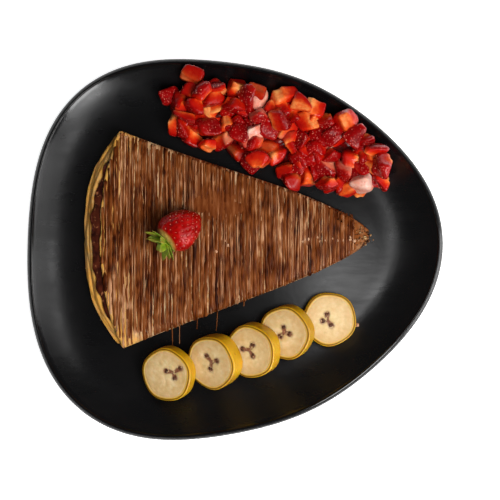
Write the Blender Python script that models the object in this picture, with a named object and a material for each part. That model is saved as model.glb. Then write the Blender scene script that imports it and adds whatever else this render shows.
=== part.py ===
# A chocolate crepe folded into a wedge, served on a rounded, three-sided coupe plate with
# diced strawberries, a whole strawberry and a row of leaning banana slices.
# Units are metres, +Z is up. The origin is the middle of the plate's box, on the table.
import math
import random

import bmesh
import bpy
from mathutils import Matrix, Vector

# Gap kept between any two pieces that touch.
GAP = 0.0004

# Plate: a circle with a few long waves round its edge, which make its three soft corners.
PLATE_MEAN_RADIUS = 0.1360
# (waves round the edge, height of the wave, direction of its first crest in degrees)
PLATE_WAVES = (
    (2, 0.00627, 5.9),
    (3, 0.00813, 0.9),
    (4, 0.00174, 43.9),
    (5, 0.00159, 0.5),
    (6, 0.00079, 2.3),
)
PLATE_SEGMENTS = 54
FLOOR_HEIGHT = 0.0070
PLATE_THICKNESS = 0.0042
WALL_WIDTH = 0.0380
WALL_RISE = 0.0155
LIP_INSET = 0.0028
FOOT_INSET = 0.0560
FOOT_WIDTH = 0.0060
UNDERSIDE_RINGS = 4

# Crepe: an eighth of a disc, pointing to +X, in eight leaves.
CREPE_APEX = (0.0933, 0.0089)
CREPE_AXIS_DEG = 180.5
CREPE_HALF_ANGLE_DEG = 23.4
CREPE_RADIUS = 0.1965
CORNER_PULL = 0.0100
UPPER_SWELL = 0.0090
LOWER_SWELL = 0.0065
CREPE_THICKNESS = 0.0133
TIP_SHARE = 0.62
TIP_LENGTH = 0.070
EDGE_DROOP = 0.16
EDGE_DROOP_WIDTH = 0.009
ARC_DROOP_WIDTH = 0.012
SWELL_HEIGHT = 0.0004
LEAF_LIP = 0.0014
TIP_START = 0.0022

# Share of the thickness where the chocolate spread lies, under the top leaf.
POCKET_LOW = 0.755
POCKET_HIGH = 0.900
SPREAD_INSET = 0.0075
SPREAD_START = 0.040
SPREAD_RETREAT = 0.0055
TOP_LEAF_RETREAT = 0.0112
TOP_LEAF_SQUARENESS = 2.5

# Drizzle: strands that cross the crepe from side to side and meet at their feet.
STRAND_PITCH = 0.0038
STRAND_HEIGHT = 0.0011
STRAND_FOOT = 0.0004
STRAND_ROOT = 0.0005
STRAND_STOPS = (0.0, 0.12, 0.5, 0.88, 1.0)
STRAND_SEED = 11
POOL_CENTRE = (-0.0045, 0.0290)
POOL_SIZE = (0.0225, 0.0150)

# Strawberry dice: pieces cut from berries, heaped along the plate's far wall.
# Pieces that lie apart from the heap are listed by place.
HEAP_START = (-0.0435, 0.0955)
HEAP_END = (0.1010, 0.0495)
HEAP_BOW = 0.0065
HEAP_HALF_WIDTH = 0.0245
HEAP_SQUARENESS = 2.6
HEAP_SEED = 29
HEAP_COUNT = 66
HEAP_DRAWS = 16
HEAP_NEST = 0.84
HEAP_RIM_INSET = 0.0120
HEAP_CREPE_MARGIN = 0.0055
HEAP_STRAYS = ((-0.0300, 0.1165), (-0.0455, 0.1040), (0.0385, 0.0470), (-0.0290, 0.1060))
DICE_BERRY_RADIUS = (0.0105, 0.0135)
DICE_SPAN_DEG = (60.0, 100.0)
DICE_LENGTH = (0.0085, 0.0130)
DICE_CORE = (0.12, 0.42)
DICE_BERRY_LENGTH = 0.034
DICE_REACH = 0.0060
DICE_STEP_ASIDE = 0.0006
CORE_HEIGHT = 0.0100
CORE_INSET = 0.0045
CORE_BEDDING = 0.0035

# Whole strawberry on the crepe.
BERRY_PLACE = (-0.0352, 0.0144)
BERRY_RADIUS = 0.0134
BERRY_LENGTH = 0.0300
BERRY_HEADING_DEG = 39.0
BERRY_TILT_DEG = -21.0
BERRY_SEGMENTS = 18
BERRY_RINGS = 11
SHOULDER = 0.36

# Calyx: a star of narrow leaves with a stem stub.
CALYX_LEAVES = 8
CALYX_INNER = 0.0062
CALYX_OUTER = 0.0142
CALYX_THICKNESS = 0.0007
CALYX_SEGMENTS = 32
CALYX_RINGS = 3
CALYX_BEND_BACK = (0.0010, 0.0055)
CALYX_CLEARANCE = 0.0006
STEM_LENGTH = 0.0045

# Banana: each slice leans on the next one, and the last lies flat.
BANANA_RADIUS = 0.0184
BANANA_FOOT = (-0.0589, -0.0888)
BANANA_ROW_DEG = 18.6
BANANA_STEPS = (0.0, 0.0346, 0.0606, 0.0854, 0.1114)
BANANA_SIDEWAYS = (0.0, -0.0018, -0.0030, 0.0012, 0.0)
BANANA_THICKNESS = (0.0100, 0.0132, 0.0122, 0.0104, 0.0104)
BANANA_SEGMENTS = 28
BANANA_ROUNDING = 0.0007
BANANA_SIDES = 5
BANANA_SIDE_DEPTH = 0.018


def clamp(value, low=0.0, high=1.0):
    return min(max(value, low), high)


def smooth(value):
    t = clamp(value)
    return t * t * (3.0 - 2.0 * t)


def clear_scene():
    for obj in list(bpy.data.objects):
        bpy.data.objects.remove(obj, do_unlink=True)


def make_material(name, colour, roughness, metallic=0.0):
    material = bpy.data.materials.new(name)
    material.use_nodes = True
    shader = material.node_tree.nodes["Principled BSDF"]
    shader.inputs["Base Color"].default_value = (*colour, 1.0)
    shader.inputs["Roughness"].default_value = roughness
    shader.inputs["Metallic"].default_value = metallic
    return material


def make_object(name, points, faces, material=None):
    """A mesh object from points and faces, its faces turned to point outwards."""
    mesh = bpy.data.meshes.new(name)
    mesh.from_pydata([tuple(p) for p in points], [], faces)
    shape = bmesh.new()
    shape.from_mesh(mesh)
    bmesh.ops.remove_doubles(shape, verts=shape.verts, dist=1e-6)
    bmesh.ops.recalc_face_normals(shape, faces=shape.faces)
    shape.to_mesh(mesh)
    shape.free()
    obj = bpy.data.objects.new(name, mesh)
    bpy.context.scene.collection.objects.link(obj)
    if material:
        mesh.materials.append(material)
    return obj


def loft(rings):
    """Closed solid through rings of equal length, with a flat fan at each end."""
    count = len(rings[0])
    points = [p for ring in rings for p in ring]
    faces = []
    for i in range(len(rings) - 1):
        low, high = i * count, (i + 1) * count
        for j in range(count):
            k = (j + 1) % count
            faces.append((low + j, low + k, high + k, high + j))
    for start, turn in ((0, -1), ((len(rings) - 1) * count, 1)):
        ring = list(range(start, start + count))[::turn]
        middle = sum((Vector(points[i]) for i in ring), Vector()) / count
        points.append(middle)
        faces += [(ring[j], ring[(j + 1) % count], len(points) - 1) for j in range(count)]
    return points, faces


# Plate


def outline_radius(angle):
    """Distance from the plate's hub to its edge."""
    radius = PLATE_MEAN_RADIUS
    for waves, height, crest in PLATE_WAVES:
        radius += height * math.cos(waves * (angle - math.radians(crest)))
    return radius


def plate_hub():
    """Where the waves' centre lies when the plate's box is centred on the origin."""
    steps = 720
    xs, ys = [], []
    for i in range(steps):
        angle = math.tau * i / steps
        xs.append(outline_radius(angle) * math.cos(angle))
        ys.append(outline_radius(angle) * math.sin(angle))
    return -(min(xs) + max(xs)) / 2, -(min(ys) + max(ys)) / 2


HUB = plate_hub()


def wall_height(inset):
    """Height of the plate's upper face at a distance in from its edge."""
    climb = clamp((WALL_WIDTH - inset) / (WALL_WIDTH - LIP_INSET))
    return FLOOR_HEIGHT + WALL_RISE * climb**2


def rim_inset(x, y):
    dx, dy = x - HUB[0], y - HUB[1]
    return outline_radius(math.atan2(dy, dx)) - math.hypot(dx, dy)


def plate_height(x, y):
    return wall_height(rim_inset(x, y))


def plate_profile():
    """(inset, height) from the middle of the floor, up the wall, over the lip and under to the foot."""
    top_insets = (FOOT_INSET, WALL_WIDTH, 0.0310, 0.0240, 0.0170, 0.0100, 0.0050, LIP_INSET)
    profile = [(inset, wall_height(inset)) for inset in top_insets]
    crest = wall_height(LIP_INSET)
    profile += [(0.0014, crest + 0.0004), (0.0001, crest - 0.0006)]
    for i in range(UNDERSIDE_RINGS + 1):
        inset = LIP_INSET + (WALL_WIDTH - LIP_INSET) * i / UNDERSIDE_RINGS
        slope = 2 * WALL_RISE * clamp((WALL_WIDTH - inset) / (WALL_WIDTH - LIP_INSET))
        lean = math.atan(slope / (WALL_WIDTH - LIP_INSET))
        under = wall_height(inset) - PLATE_THICKNESS * math.cos(lean)
        profile.append((inset - PLATE_THICKNESS * math.sin(lean), under))
    base = FLOOR_HEIGHT - PLATE_THICKNESS
    inner = FOOT_INSET + FOOT_WIDTH
    profile += [(FOOT_INSET - 0.0010, base), (FOOT_INSET, 0.0), (inner, 0.0), (inner + 0.0010, base)]
    return profile


def plate_ring(inset, height):
    ring = []
    for i in range(PLATE_SEGMENTS):
        angle = math.tau * i / PLATE_SEGMENTS
        radius = outline_radius(angle) - inset
        ring.append((HUB[0] + radius * math.cos(angle), HUB[1] + radius * math.sin(angle), height))
    return ring


def build_plate(material):
    points, faces = loft([plate_ring(inset, height) for inset, height in plate_profile()])
    return make_object("plate", points, faces, material)


# Crepe


def arc_radius(phi):
    """Reach of the disc's edge across the wedge, phi running from -1 to 1."""
    return CREPE_RADIUS - CORNER_PULL * abs(phi) ** 3.5


def swell(reach, phi):
    """How far the sides bow out beyond straight lines, most of it near the tip."""
    share = clamp(reach / CREPE_RADIUS)
    most = UPPER_SWELL if phi > 0 else LOWER_SWELL
    return most * 3.5 * math.sqrt(share) * (1.0 - share) ** 2


def wedge_point(reach, phi):
    angle = math.radians(CREPE_AXIS_DEG - phi * CREPE_HALF_ANGLE_DEG)
    x = CREPE_APEX[0] + reach * math.cos(angle)
    y = CREPE_APEX[1] + reach * math.sin(angle) + phi * swell(reach, phi)
    return x, y


def half_width(reach):
    return reach * math.sin(math.radians(CREPE_HALF_ANGLE_DEG)) + swell(reach, 1.0)


def reach_at(x, phi):
    """Distance from the tip at which the ray phi crosses a line of constant x."""
    angle = math.radians(CREPE_AXIS_DEG - phi * CREPE_HALF_ANGLE_DEG)
    return (x - CREPE_APEX[0]) / math.cos(angle)


def wedge_coordinates(x, y):
    """(reach, phi) of a point, found by halving, because y grows steadily with phi."""
    low, high = -1.6, 1.6
    for _ in range(40):
        phi = (low + high) / 2
        if wedge_point(reach_at(x, phi), phi)[1] < y:
            low = phi
        else:
            high = phi
    return reach_at(x, phi), phi


def thickness_at(reach, phi):
    """Thickness of the folded stack: thinner at the tip, falling off at its edges."""
    x, y = wedge_point(reach, phi)
    share = TIP_SHARE + (1.0 - TIP_SHARE) * smooth(reach / TIP_LENGTH)
    side = (1.0 - abs(phi)) * half_width(reach)
    edge = (1.0 - smooth(side / EDGE_DROOP_WIDTH)) * EDGE_DROOP
    arc = (1.0 - smooth((arc_radius(phi) - reach) / ARC_DROOP_WIDTH)) * EDGE_DROOP
    swells = math.sin(x * 71.0 + 1.2) * math.cos(y * 63.0 - 0.4) + 0.6 * math.sin(x * 37.0 + y * 88.0)
    return CREPE_THICKNESS * share * (1.0 - max(edge, arc)) + SWELL_HEIGHT * swells * share


def crepe_height(reach, phi, share):
    """Height at a share of the thickness, from 0 at the plate to 1 at the top."""
    x, y = wedge_point(reach, phi)
    return plate_height(x, y) + GAP + share * thickness_at(reach, phi)


def wedge_slab(name, low, high, radius_of, side_inset, start, rows, columns, lip, material=None):
    """A wedge between two shares of the thickness, with bevelled edges all round.

    radius_of(phi) is its reach at the arc, side_inset its distance in from the sides.
    """

    def grid(share, shrink):
        points = []
        for i in range(rows + 1):
            row = []
            for j in range(columns + 1):
                phi = 2.0 * j / columns - 1.0
                last = radius_of(phi) - shrink
                first = start + shrink
                reach = first + (last - first) * i / rows
                inset = min((side_inset + shrink) / half_width(max(reach, start)), 0.7)
                phi *= 1.0 - inset
                x, y = wedge_point(reach, phi)
                row.append((x, y, crepe_height(reach, phi, share)))
            points.append(row)
        return points

    def border(points):
        first, last = points[0], points[-1]
        right = [row[-1] for row in points]
        left = [row[0] for row in points]
        return first[:-1] + right[:-1] + last[:0:-1] + left[:0:-1]

    middle = (low + high) / 2
    bottom, waist, top = grid(low, lip), border(grid(middle, 0.0)), grid(high, lip)
    points, faces = [], []
    for layer, turn in ((bottom, False), (top, True)):
        offset = len(points)
        points += [p for row in layer for p in row]
        for i in range(rows):
            for j in range(columns):
                a = offset + i * (columns + 1) + j
                quad = (a, a + 1, a + columns + 2, a + columns + 1)
                faces.append(quad if turn else quad[::-1])
    rims = (border(bottom), waist, border(top))
    offset = len(points)
    count = len(waist)
    for rim in rims:
        points += rim
    for i in range(2):
        for j in range(count):
            k = (j + 1) % count
            low_ring, high_ring = offset + i * count, offset + (i + 1) * count
            faces.append((low_ring + j, low_ring + k, high_ring + k, high_ring + j))
    return make_object(name, points, faces, material)


def fold_roll():
    """The rounded fold along the near side, where the outer leaves wrap the inner ones."""
    rings = []
    steps, sides = 9, 8
    for i in range(steps + 1):
        reach = 0.012 + (CREPE_RADIUS - CORNER_PULL - 0.004 - 0.012) * i / steps
        phi = -1.0 + 0.0030 / half_width(reach)
        x, y = wedge_point(reach, phi)
        half = thickness_at(reach, phi) / 2
        ring = []
        for k in range(sides):
            turn = math.tau * (k + 0.5) / sides
            height = plate_height(x, y) + GAP + half * (1.0 + 0.97 * math.sin(turn))
            ring.append((x, y + 0.0042 * math.cos(turn), height))
        rings.append(ring)
    points, faces = loft(rings)
    return make_object("fold_roll", points, faces)


def top_radius(phi):
    """The top leaf stops short of the ones below, least at the corners."""
    return arc_radius(phi) - TOP_LEAF_RETREAT * (1.0 - abs(phi) ** TOP_LEAF_SQUARENESS) - 0.0008


def strand_range(x):
    """The stretch of phi over which a line of constant x lies on the top leaf."""
    steps = 200
    on_leaf = []
    for i in range(steps + 1):
        phi = 2.0 * i / steps - 1.0
        reach = reach_at(x, phi)
        side = (1.0 - abs(phi)) * half_width(max(reach, TIP_START))
        inside = TIP_START + LEAF_LIP < reach < top_radius(phi) - 2 * LEAF_LIP
        if inside and side > 2 * LEAF_LIP:
            on_leaf.append(phi)
    return (min(on_leaf), max(on_leaf)) if on_leaf else None


def drizzle_row(x, low, high, rise):
    """Points across the top leaf at a constant x, the upper ones at a height above it."""
    upper, lower = [], []
    for stop in STRAND_STOPS:
        phi = low + (high - low) * stop
        reach = reach_at(x, phi)
        px, py = wedge_point(reach, phi)
        z = crepe_height(reach, phi, 1.0)
        upper.append((px, py, z + rise))
        lower.append((px, py, z - STRAND_ROOT))
    return upper + lower[::-1]


def drizzle():
    """Strands of chocolate side by side, uneven in place, width, height and length."""
    draw = random.Random(STRAND_SEED)
    rows = []
    x = CREPE_APEX[0] - CREPE_RADIUS + 0.012
    while x < CREPE_APEX[0] - 0.008:
        step = STRAND_PITCH * draw.uniform(0.78, 1.22) / 2
        for rise in (STRAND_FOOT, STRAND_HEIGHT * draw.uniform(0.7, 1.0)):
            x += step
            span = strand_range(x)
            if not span or span[1] - span[0] < 0.35:
                continue
            ends = draw.uniform(0.0, 0.05), draw.uniform(0.0, 0.05)
            rows.append(drizzle_row(x, span[0] + ends[0], span[1] - ends[1], rise))
    points, faces = loft(rows)
    return make_object("drizzle", points, faces)


def drizzle_pool():
    """The patch where strands have run together beside the whole strawberry."""
    count = 14
    rings = []
    for share, up in ((0.8, -STRAND_ROOT), (1.0, 0.0004), (0.86, 0.0010), (0.45, 0.0013)):
        ring = []
        for i in range(count):
            turn = math.tau * i / count
            x = POOL_CENTRE[0] + share * POOL_SIZE[0] * math.cos(turn)
            y = POOL_CENTRE[1] + share * POOL_SIZE[1] * math.sin(turn)
            reach, phi = wedge_coordinates(x, y)
            ring.append((x, y, crepe_height(reach, phi, 1.0) + up))
        rings.append(ring)
    points, faces = loft(rings)
    return make_object("pool", points, faces)


def boolean(obj, operation, helpers, solver):
    """Joins or cuts obj with helpers, keeps the result as its mesh and removes the helpers."""
    group = bpy.data.collections.new("helpers")
    bpy.context.scene.collection.children.link(group)
    for helper in helpers:
        group.objects.link(helper)
    modifier = obj.modifiers.new("fused", "BOOLEAN")
    modifier.operation = operation
    modifier.operand_type = "COLLECTION"
    modifier.collection = group
    modifier.solver = solver
    bpy.context.view_layer.update()
    graph = bpy.context.evaluated_depsgraph_get()
    mesh = bpy.data.meshes.new_from_object(obj.evaluated_get(graph))
    obj.modifiers.remove(modifier)
    obj.data = mesh
    for helper in helpers:
        bpy.data.objects.remove(helper, do_unlink=True)
    bpy.data.collections.remove(group)


def keep_largest_surface(obj):
    """Fills sealed hollows and drops loose scraps, which are all separate surfaces."""
    shape = bmesh.new()
    shape.from_mesh(obj.data)
    unseen = set(shape.verts)
    surfaces = []
    while unseen:
        surface, front = set(), [unseen.pop()]
        while front:
            vert = front.pop()
            surface.add(vert)
            for edge in vert.link_edges:
                other = edge.other_vert(vert)
                if other in unseen:
                    unseen.remove(other)
                    front.append(other)
        surfaces.append(surface)
    surfaces.sort(key=len)
    spare = [vert for surface in surfaces[:-1] for vert in surface]
    bmesh.ops.delete(shape, geom=spare, context="VERTS")
    shape.to_mesh(obj.data)
    shape.free()


def build_crepe(material):
    """The stack of leaves, its near fold, the pocket for the spread, and the drizzle fused on."""
    top = wedge_slab("crepe", 0.70, 1.0, top_radius, 0.0, TIP_START, 11, 10, LEAF_LIP, material)
    leaves = []
    for low, high, pull, inset in (
        (0.00, 0.24, 0.0000, 0.0006),
        (0.15, 0.45, 0.0016, 0.0000),
        (0.36, 0.66, -0.0006, 0.0012),
        (0.58, POCKET_LOW, 0.0007, 0.0004),
    ):
        reach = lambda phi, back=pull: arc_radius(phi) - back
        rows, columns = (9, 8) if high == POCKET_LOW else (5, 6)
        leaves.append(wedge_slab("leaf", low, high, reach, inset, TIP_START, rows, columns, LEAF_LIP))
    leaves.append(fold_roll())
    boolean(top, "UNION", leaves, "MANIFOLD")
    beyond = lambda phi: arc_radius(phi) + 0.010
    cutter = wedge_slab(
        "pocket", POCKET_LOW, POCKET_HIGH, beyond, SPREAD_INSET - GAP, SPREAD_START - GAP, 12, 7, 0.0002
    )
    boolean(top, "DIFFERENCE", [cutter], "MANIFOLD")
    boolean(top, "UNION", [drizzle(), drizzle_pool()], "MANIFOLD")
    keep_largest_surface(top)
    return top


def build_spread(material):
    """Chocolate spread under the top leaf, showing as a dark band along the arc."""
    clearance = 1.3 * GAP / CREPE_THICKNESS
    reach = lambda phi: arc_radius(phi) - SPREAD_RETREAT
    return wedge_slab(
        "chocolate_filling",
        POCKET_LOW + clearance,
        POCKET_HIGH - clearance,
        reach,
        SPREAD_INSET,
        SPREAD_START,
        11,
        7,
        0.0003,
        material,
    )


# Strawberries


def berry_radius(share):
    """Radius of a berry, as a share of its widest, from its calyx at 0 to its tip at 1."""
    if share <= 0.0 or share >= 1.0:
        return 0.0
    most = SHOULDER**SHOULDER * (1.0 - SHOULDER) ** (1.0 - SHOULDER)
    return share**SHOULDER * (1.0 - share) ** (1.0 - SHOULDER) / most


def heap_middle(share):
    """A point of the heap's bowed middle line, and the unit vector across it."""
    start, end = Vector(HEAP_START), Vector(HEAP_END)
    along = (end - start).normalized()
    across = Vector((-along.y, along.x))
    return start + (end - start) * share + across * (4.0 * HEAP_BOW * share * (1.0 - share)), across


def heap_half_width(share):
    return HEAP_HALF_WIDTH * max(1.0 - abs(2.0 * share - 1.0) ** HEAP_SQUARENESS, 0.0) ** 0.5


def clear_of_crepe(x, y, margin):
    """True beyond the crepe's far side by at least the margin, or past its tip or arc."""
    if x > CREPE_APEX[0] + margin or x < CREPE_APEX[0] - CREPE_RADIUS - margin:
        return True
    edge = wedge_point(reach_at(min(x, CREPE_APEX[0]), 1.0), 1.0)[1]
    return y > edge + margin


def dice_shape(draw):
    """The cut of one piece: a sector of a berry between two cross cuts."""
    radius = draw.uniform(*DICE_BERRY_RADIUS)
    span = math.radians(draw.uniform(*DICE_SPAN_DEG))
    length = draw.uniform(*DICE_LENGTH)
    start = draw.uniform(0.10, 0.95 - length / DICE_BERRY_LENGTH)
    core = draw.uniform(*DICE_CORE)
    return radius, span, length, start, core


def dice_point(shape, around, along, out):
    """A point of a piece: around, along and out run from 0 to 1 through its sector."""
    radius, span, length, start, core = shape
    share = start + along * length / DICE_BERRY_LENGTH
    angle = (around - 0.5) * span
    reach = radius * (core + (1.0 - core) * out) * berry_radius(share)
    return Vector((reach * math.cos(angle), reach * math.sin(angle), (along - 0.5) * length))


def dice_middle(shape):
    corners = [dice_point(shape, a, b, c) for a in (0, 1) for b in (0, 1) for c in (0, 1)]
    return sum(corners, Vector()) / len(corners)


def dice_turn(draw):
    """A random rotation, evenly spread."""
    u, v, w = draw.random(), draw.random() * math.tau, draw.random() * math.tau
    first, second = math.sqrt(1.0 - u), math.sqrt(u)
    parts = (first * math.sin(v), first * math.cos(v), second * math.sin(w), second * math.cos(w))
    a, b, c, d = parts
    return Matrix(
        (
            (1 - 2 * (c * c + d * d), 2 * (b * c - a * d), 2 * (b * d + a * c)),
            (2 * (b * c + a * d), 1 - 2 * (b * b + d * d), 2 * (c * d - a * b)),
            (2 * (b * d - a * c), 2 * (c * d + a * b), 1 - 2 * (b * b + c * c)),
        )
    )


def core_height(share, side):
    """Height of the heap's core above the plate: a low mound that tapers to its ends."""
    ends = smooth(min(5.0 * share, 5.0 * (1.0 - share)))
    return CORE_HEIGHT * ends * (1.0 - 0.8 * side * side)


def resting_height(x, y, mound, placed):
    """Height at which a piece dropped at x, y comes to lie on the plate, the core or other pieces."""
    z = plate_height(x, y) + DICE_REACH + max(mound, 0.0)
    for _, _, other in placed:
        level = (2 * DICE_REACH * HEAP_NEST) ** 2 - (x - other.x) ** 2 - (y - other.y) ** 2
        if level > 0.0:
            z = max(z, other.z + math.sqrt(level))
    return z


def heap_dice():
    """Each piece as (shape, turn, place): dropped at the lowest of a few places drawn."""
    draw = random.Random(HEAP_SEED)
    placed = []
    for x, y in HEAP_STRAYS:
        placed.append((dice_shape(draw), dice_turn(draw), Vector((x, y, resting_height(x, y, 0.0, [])))))
    for _ in range(HEAP_COUNT):
        shape = dice_shape(draw)
        turn = dice_turn(draw)
        best = None
        for _ in range(HEAP_DRAWS):
            share, side = draw.uniform(0.0, 1.0), draw.uniform(-1.0, 1.0)
            middle, across = heap_middle(share)
            x, y = middle + across * side * heap_half_width(share)
            if rim_inset(x, y) < HEAP_RIM_INSET or not clear_of_crepe(x, y, HEAP_CREPE_MARGIN):
                continue
            z = resting_height(x, y, core_height(share, side) - CORE_BEDDING, placed)
            rise = z - plate_height(x, y)
            if best is None or rise < best[0]:
                best = (rise, Vector((x, y, z)))
        if best:
            placed.append((shape, turn, best[1]))
    return placed


def rest_on_plate(points):
    """How far a piece is raised so that no point of it is in the plate."""
    return max(0.0, max(plate_height(p.x, p.y) + GAP - p.z for p in points))


def settle(points):
    """Moves a piece clear of the crepe's side and of the rim, then up out of the plate."""
    aside = Vector(heap_middle(0.5)[1]).to_3d() * DICE_STEP_ASIDE
    for _ in range(30):
        if all(clear_of_crepe(p.x, p.y, 2 * GAP) for p in points):
            break
        points = [p + aside for p in points]
    for _ in range(30):
        if all(rim_inset(p.x, p.y) > LIP_INSET for p in points):
            break
        points = [p - aside for p in points]
    lift = Vector((0.0, 0.0, rest_on_plate(points)))
    return [p + lift for p in points]


def dice_solid(name, shape, turn, place):
    """One piece with few sides: the hull of its corners and of its rounded skin side."""
    middle = dice_middle(shape)
    points = [dice_point(shape, around, along, 0.0) for around in (0.0, 1.0) for along in (0.0, 1.0)]
    for along in (0.0, 0.5, 1.0):
        points += [dice_point(shape, around, along, 1.0) for around in (0.0, 0.5, 1.0)]
    solid = bmesh.new()
    for p in settle([turn @ (p - middle) + place for p in points]):
        solid.verts.new(p)
    made = bmesh.ops.convex_hull(solid, input=solid.verts)
    loose = [e for e in made["geom_interior"] if isinstance(e, bmesh.types.BMVert)]
    bmesh.ops.delete(solid, geom=loose, context="VERTS")
    bmesh.ops.recalc_face_normals(solid, faces=solid.faces)
    mesh = bpy.data.meshes.new(name)
    solid.to_mesh(mesh)
    solid.free()
    obj = bpy.data.objects.new(name, mesh)
    bpy.context.scene.collection.objects.link(obj)
    return obj


def heap_core(material):
    """A low mound under the dice, which holds them together as one heap."""
    steps, sides = 12, 6
    rings = []
    for i in range(steps + 1):
        share = 0.03 + 0.94 * i / steps
        middle, across = heap_middle(share)
        wide = max(heap_half_width(share) - CORE_INSET, 0.003)
        top, bottom = [], []
        for j in range(sides):
            side = 2.0 * j / (sides - 1) - 1.0
            x, y = middle + across * side * wide
            ground = plate_height(x, y) + GAP
            top.append((x, y, ground + max(core_height(share, side), 0.0015)))
            bottom.append((x, y, ground))
        rings.append(bottom + top[::-1])
    points, faces = loft(rings)
    return make_object("diced_strawberries", points, faces, material)


def build_heap(material):
    core = heap_core(material)
    dice = [dice_solid(f"dice_{i}", *piece) for i, piece in enumerate(heap_dice())]
    boolean(core, "UNION", dice, "MANIFOLD")
    keep_largest_surface(core)
    return core


def berry_frame():
    """Matrix that carries a berry, calyx at its origin and tip up, to its place on the crepe."""
    heading, tilt = math.radians(BERRY_HEADING_DEG), math.radians(BERRY_TILT_DEG)
    axis = Vector(
        (math.cos(heading) * math.cos(tilt), math.sin(heading) * math.cos(tilt), math.sin(tilt))
    )
    turn = axis.to_track_quat("Z", "Y").to_matrix().to_4x4()
    lowest = 1.0
    for p in berry_points(36, 24):
        world = turn @ (p - Vector((0, 0, BERRY_LENGTH / 2)))
        x, y = world.x + BERRY_PLACE[0], world.y + BERRY_PLACE[1]
        rest = crepe_height(*wedge_coordinates(x, y), 1.0) + STRAND_HEIGHT + GAP
        lowest = min(lowest, world.z - rest)
    place = Matrix.Translation(Vector((*BERRY_PLACE, -lowest)))
    return place @ turn @ Matrix.Translation(Vector((0, 0, -BERRY_LENGTH / 2)))


def berry_points(segments, rings):
    """Points of a berry's skin in its own frame, calyx at the origin and tip up."""
    points = []
    for i in range(1, rings):
        share = (1.0 - math.cos(math.pi * i / rings)) / 2
        for j in range(segments):
            angle = math.tau * j / segments
            radius = BERRY_RADIUS * berry_radius(share)
            points.append(Vector((radius * math.cos(angle), radius * math.sin(angle), share * BERRY_LENGTH)))
    return points


def build_berry(material, frame):
    points = berry_points(BERRY_SEGMENTS, BERRY_RINGS)
    rings = [points[i : i + BERRY_SEGMENTS] for i in range(0, len(points), BERRY_SEGMENTS)]
    solid, faces = loft(rings)
    ends = solid[-2:]
    ends[0].z, ends[1].z = 0.0004, BERRY_LENGTH
    return make_object("whole_strawberry", [frame @ Vector(p) for p in solid], faces, material)


def calyx_leaf(angle):
    """(number of the nearest leaf, distance from its middle line from 0 to 1)."""
    turn = angle / math.tau * CALYX_LEAVES
    return round(turn) % CALYX_LEAVES, abs(turn - round(turn)) * 2.0


def calyx_point(angle, share, lengths, bends):
    """A point of the star's face in the berry's frame, share 0 at its middle, 1 at its edge."""
    leaf, off = calyx_leaf(angle)
    longest = CALYX_INNER + (CALYX_OUTER * lengths[leaf] - CALYX_INNER) * (1.0 - off**1.6)
    reach = longest * share
    back = bends[leaf] * (reach / CALYX_OUTER) ** 2
    back += 0.0006 * share * math.sin(5.0 * angle + 9.0 * share)
    return Vector((reach * math.cos(angle), reach * math.sin(angle), -CALYX_CLEARANCE - back))


def calyx_face(lengths, bends, under):
    """Rings of points of one face; the under face carries the stem's stub."""
    rings = []
    for ring in range(CALYX_RINGS + 1):
        share = max(ring / CALYX_RINGS, 0.14)
        points = []
        for j in range(CALYX_SEGMENTS):
            p = calyx_point(math.tau * j / CALYX_SEGMENTS, share, lengths, bends)
            if under:
                p.z -= CALYX_THICKNESS * (0.5 if ring == CALYX_RINGS else 1.0)
            if under and ring == 0:
                p.z -= STEM_LENGTH
            points.append(p)
        rings.append(points)
    return rings


def build_calyx(material, frame):
    """A thin wavy star behind the berry, both faces split alike, with the stem's stub."""
    draw = random.Random(5)
    lengths = [draw.uniform(0.80, 1.0) for _ in range(CALYX_LEAVES)]
    bends = [draw.uniform(*CALYX_BEND_BACK) for _ in range(CALYX_LEAVES)]
    points, faces = [], []
    for under in (False, True):
        offset = len(points)
        for ring in calyx_face(lengths, bends, under):
            for p in ring:
                world = frame @ p
                ground = crepe_height(*wedge_coordinates(world.x, world.y), 1.0) + STRAND_HEIGHT + GAP
                world.z = max(world.z, ground + (0.0 if under else CALYX_THICKNESS))
                points.append(world)
        for i in range(CALYX_RINGS):
            for j in range(CALYX_SEGMENTS):
                k = (j + 1) % CALYX_SEGMENTS
                a, b = offset + i * CALYX_SEGMENTS, offset + (i + 1) * CALYX_SEGMENTS
                faces += [(a + j, b + j, b + k), (a + j, b + k, a + k)]
    back = (CALYX_RINGS + 1) * CALYX_SEGMENTS
    last = CALYX_RINGS * CALYX_SEGMENTS
    for j in range(CALYX_SEGMENTS):
        k = (j + 1) % CALYX_SEGMENTS
        faces.append((last + j, back + last + j, back + last + k, last + k))
    faces.append(tuple(range(CALYX_SEGMENTS)))
    faces.append(tuple(range(back, back + CALYX_SEGMENTS)))
    return make_object("strawberry_leaves", points, faces, material)


# Banana


def banana_outline(angle):
    """A banana's cross-section: nearly round, with five soft sides."""
    return BANANA_RADIUS * (1.0 + BANANA_SIDE_DEPTH * math.cos(BANANA_SIDES * angle))


def banana_points(index, frame):
    """Rings of a slice: its lower face, the peel side with rounded edges, its upper face."""
    thick = BANANA_THICKNESS[index]
    rings = []
    for height, inset in (
        (0.0, BANANA_ROUNDING),
        (BANANA_ROUNDING, 0.0),
        (thick - BANANA_ROUNDING, 0.0),
        (thick, BANANA_ROUNDING),
    ):
        ring = []
        for j in range(BANANA_SEGMENTS):
            angle = math.tau * j / BANANA_SEGMENTS
            reach = banana_outline(angle + 0.5 * index) - inset
            local = Vector((BANANA_RADIUS + reach * math.cos(angle), reach * math.sin(angle), height))
            ring.append(frame @ local)
        rings.append(ring)
    return rings


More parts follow.
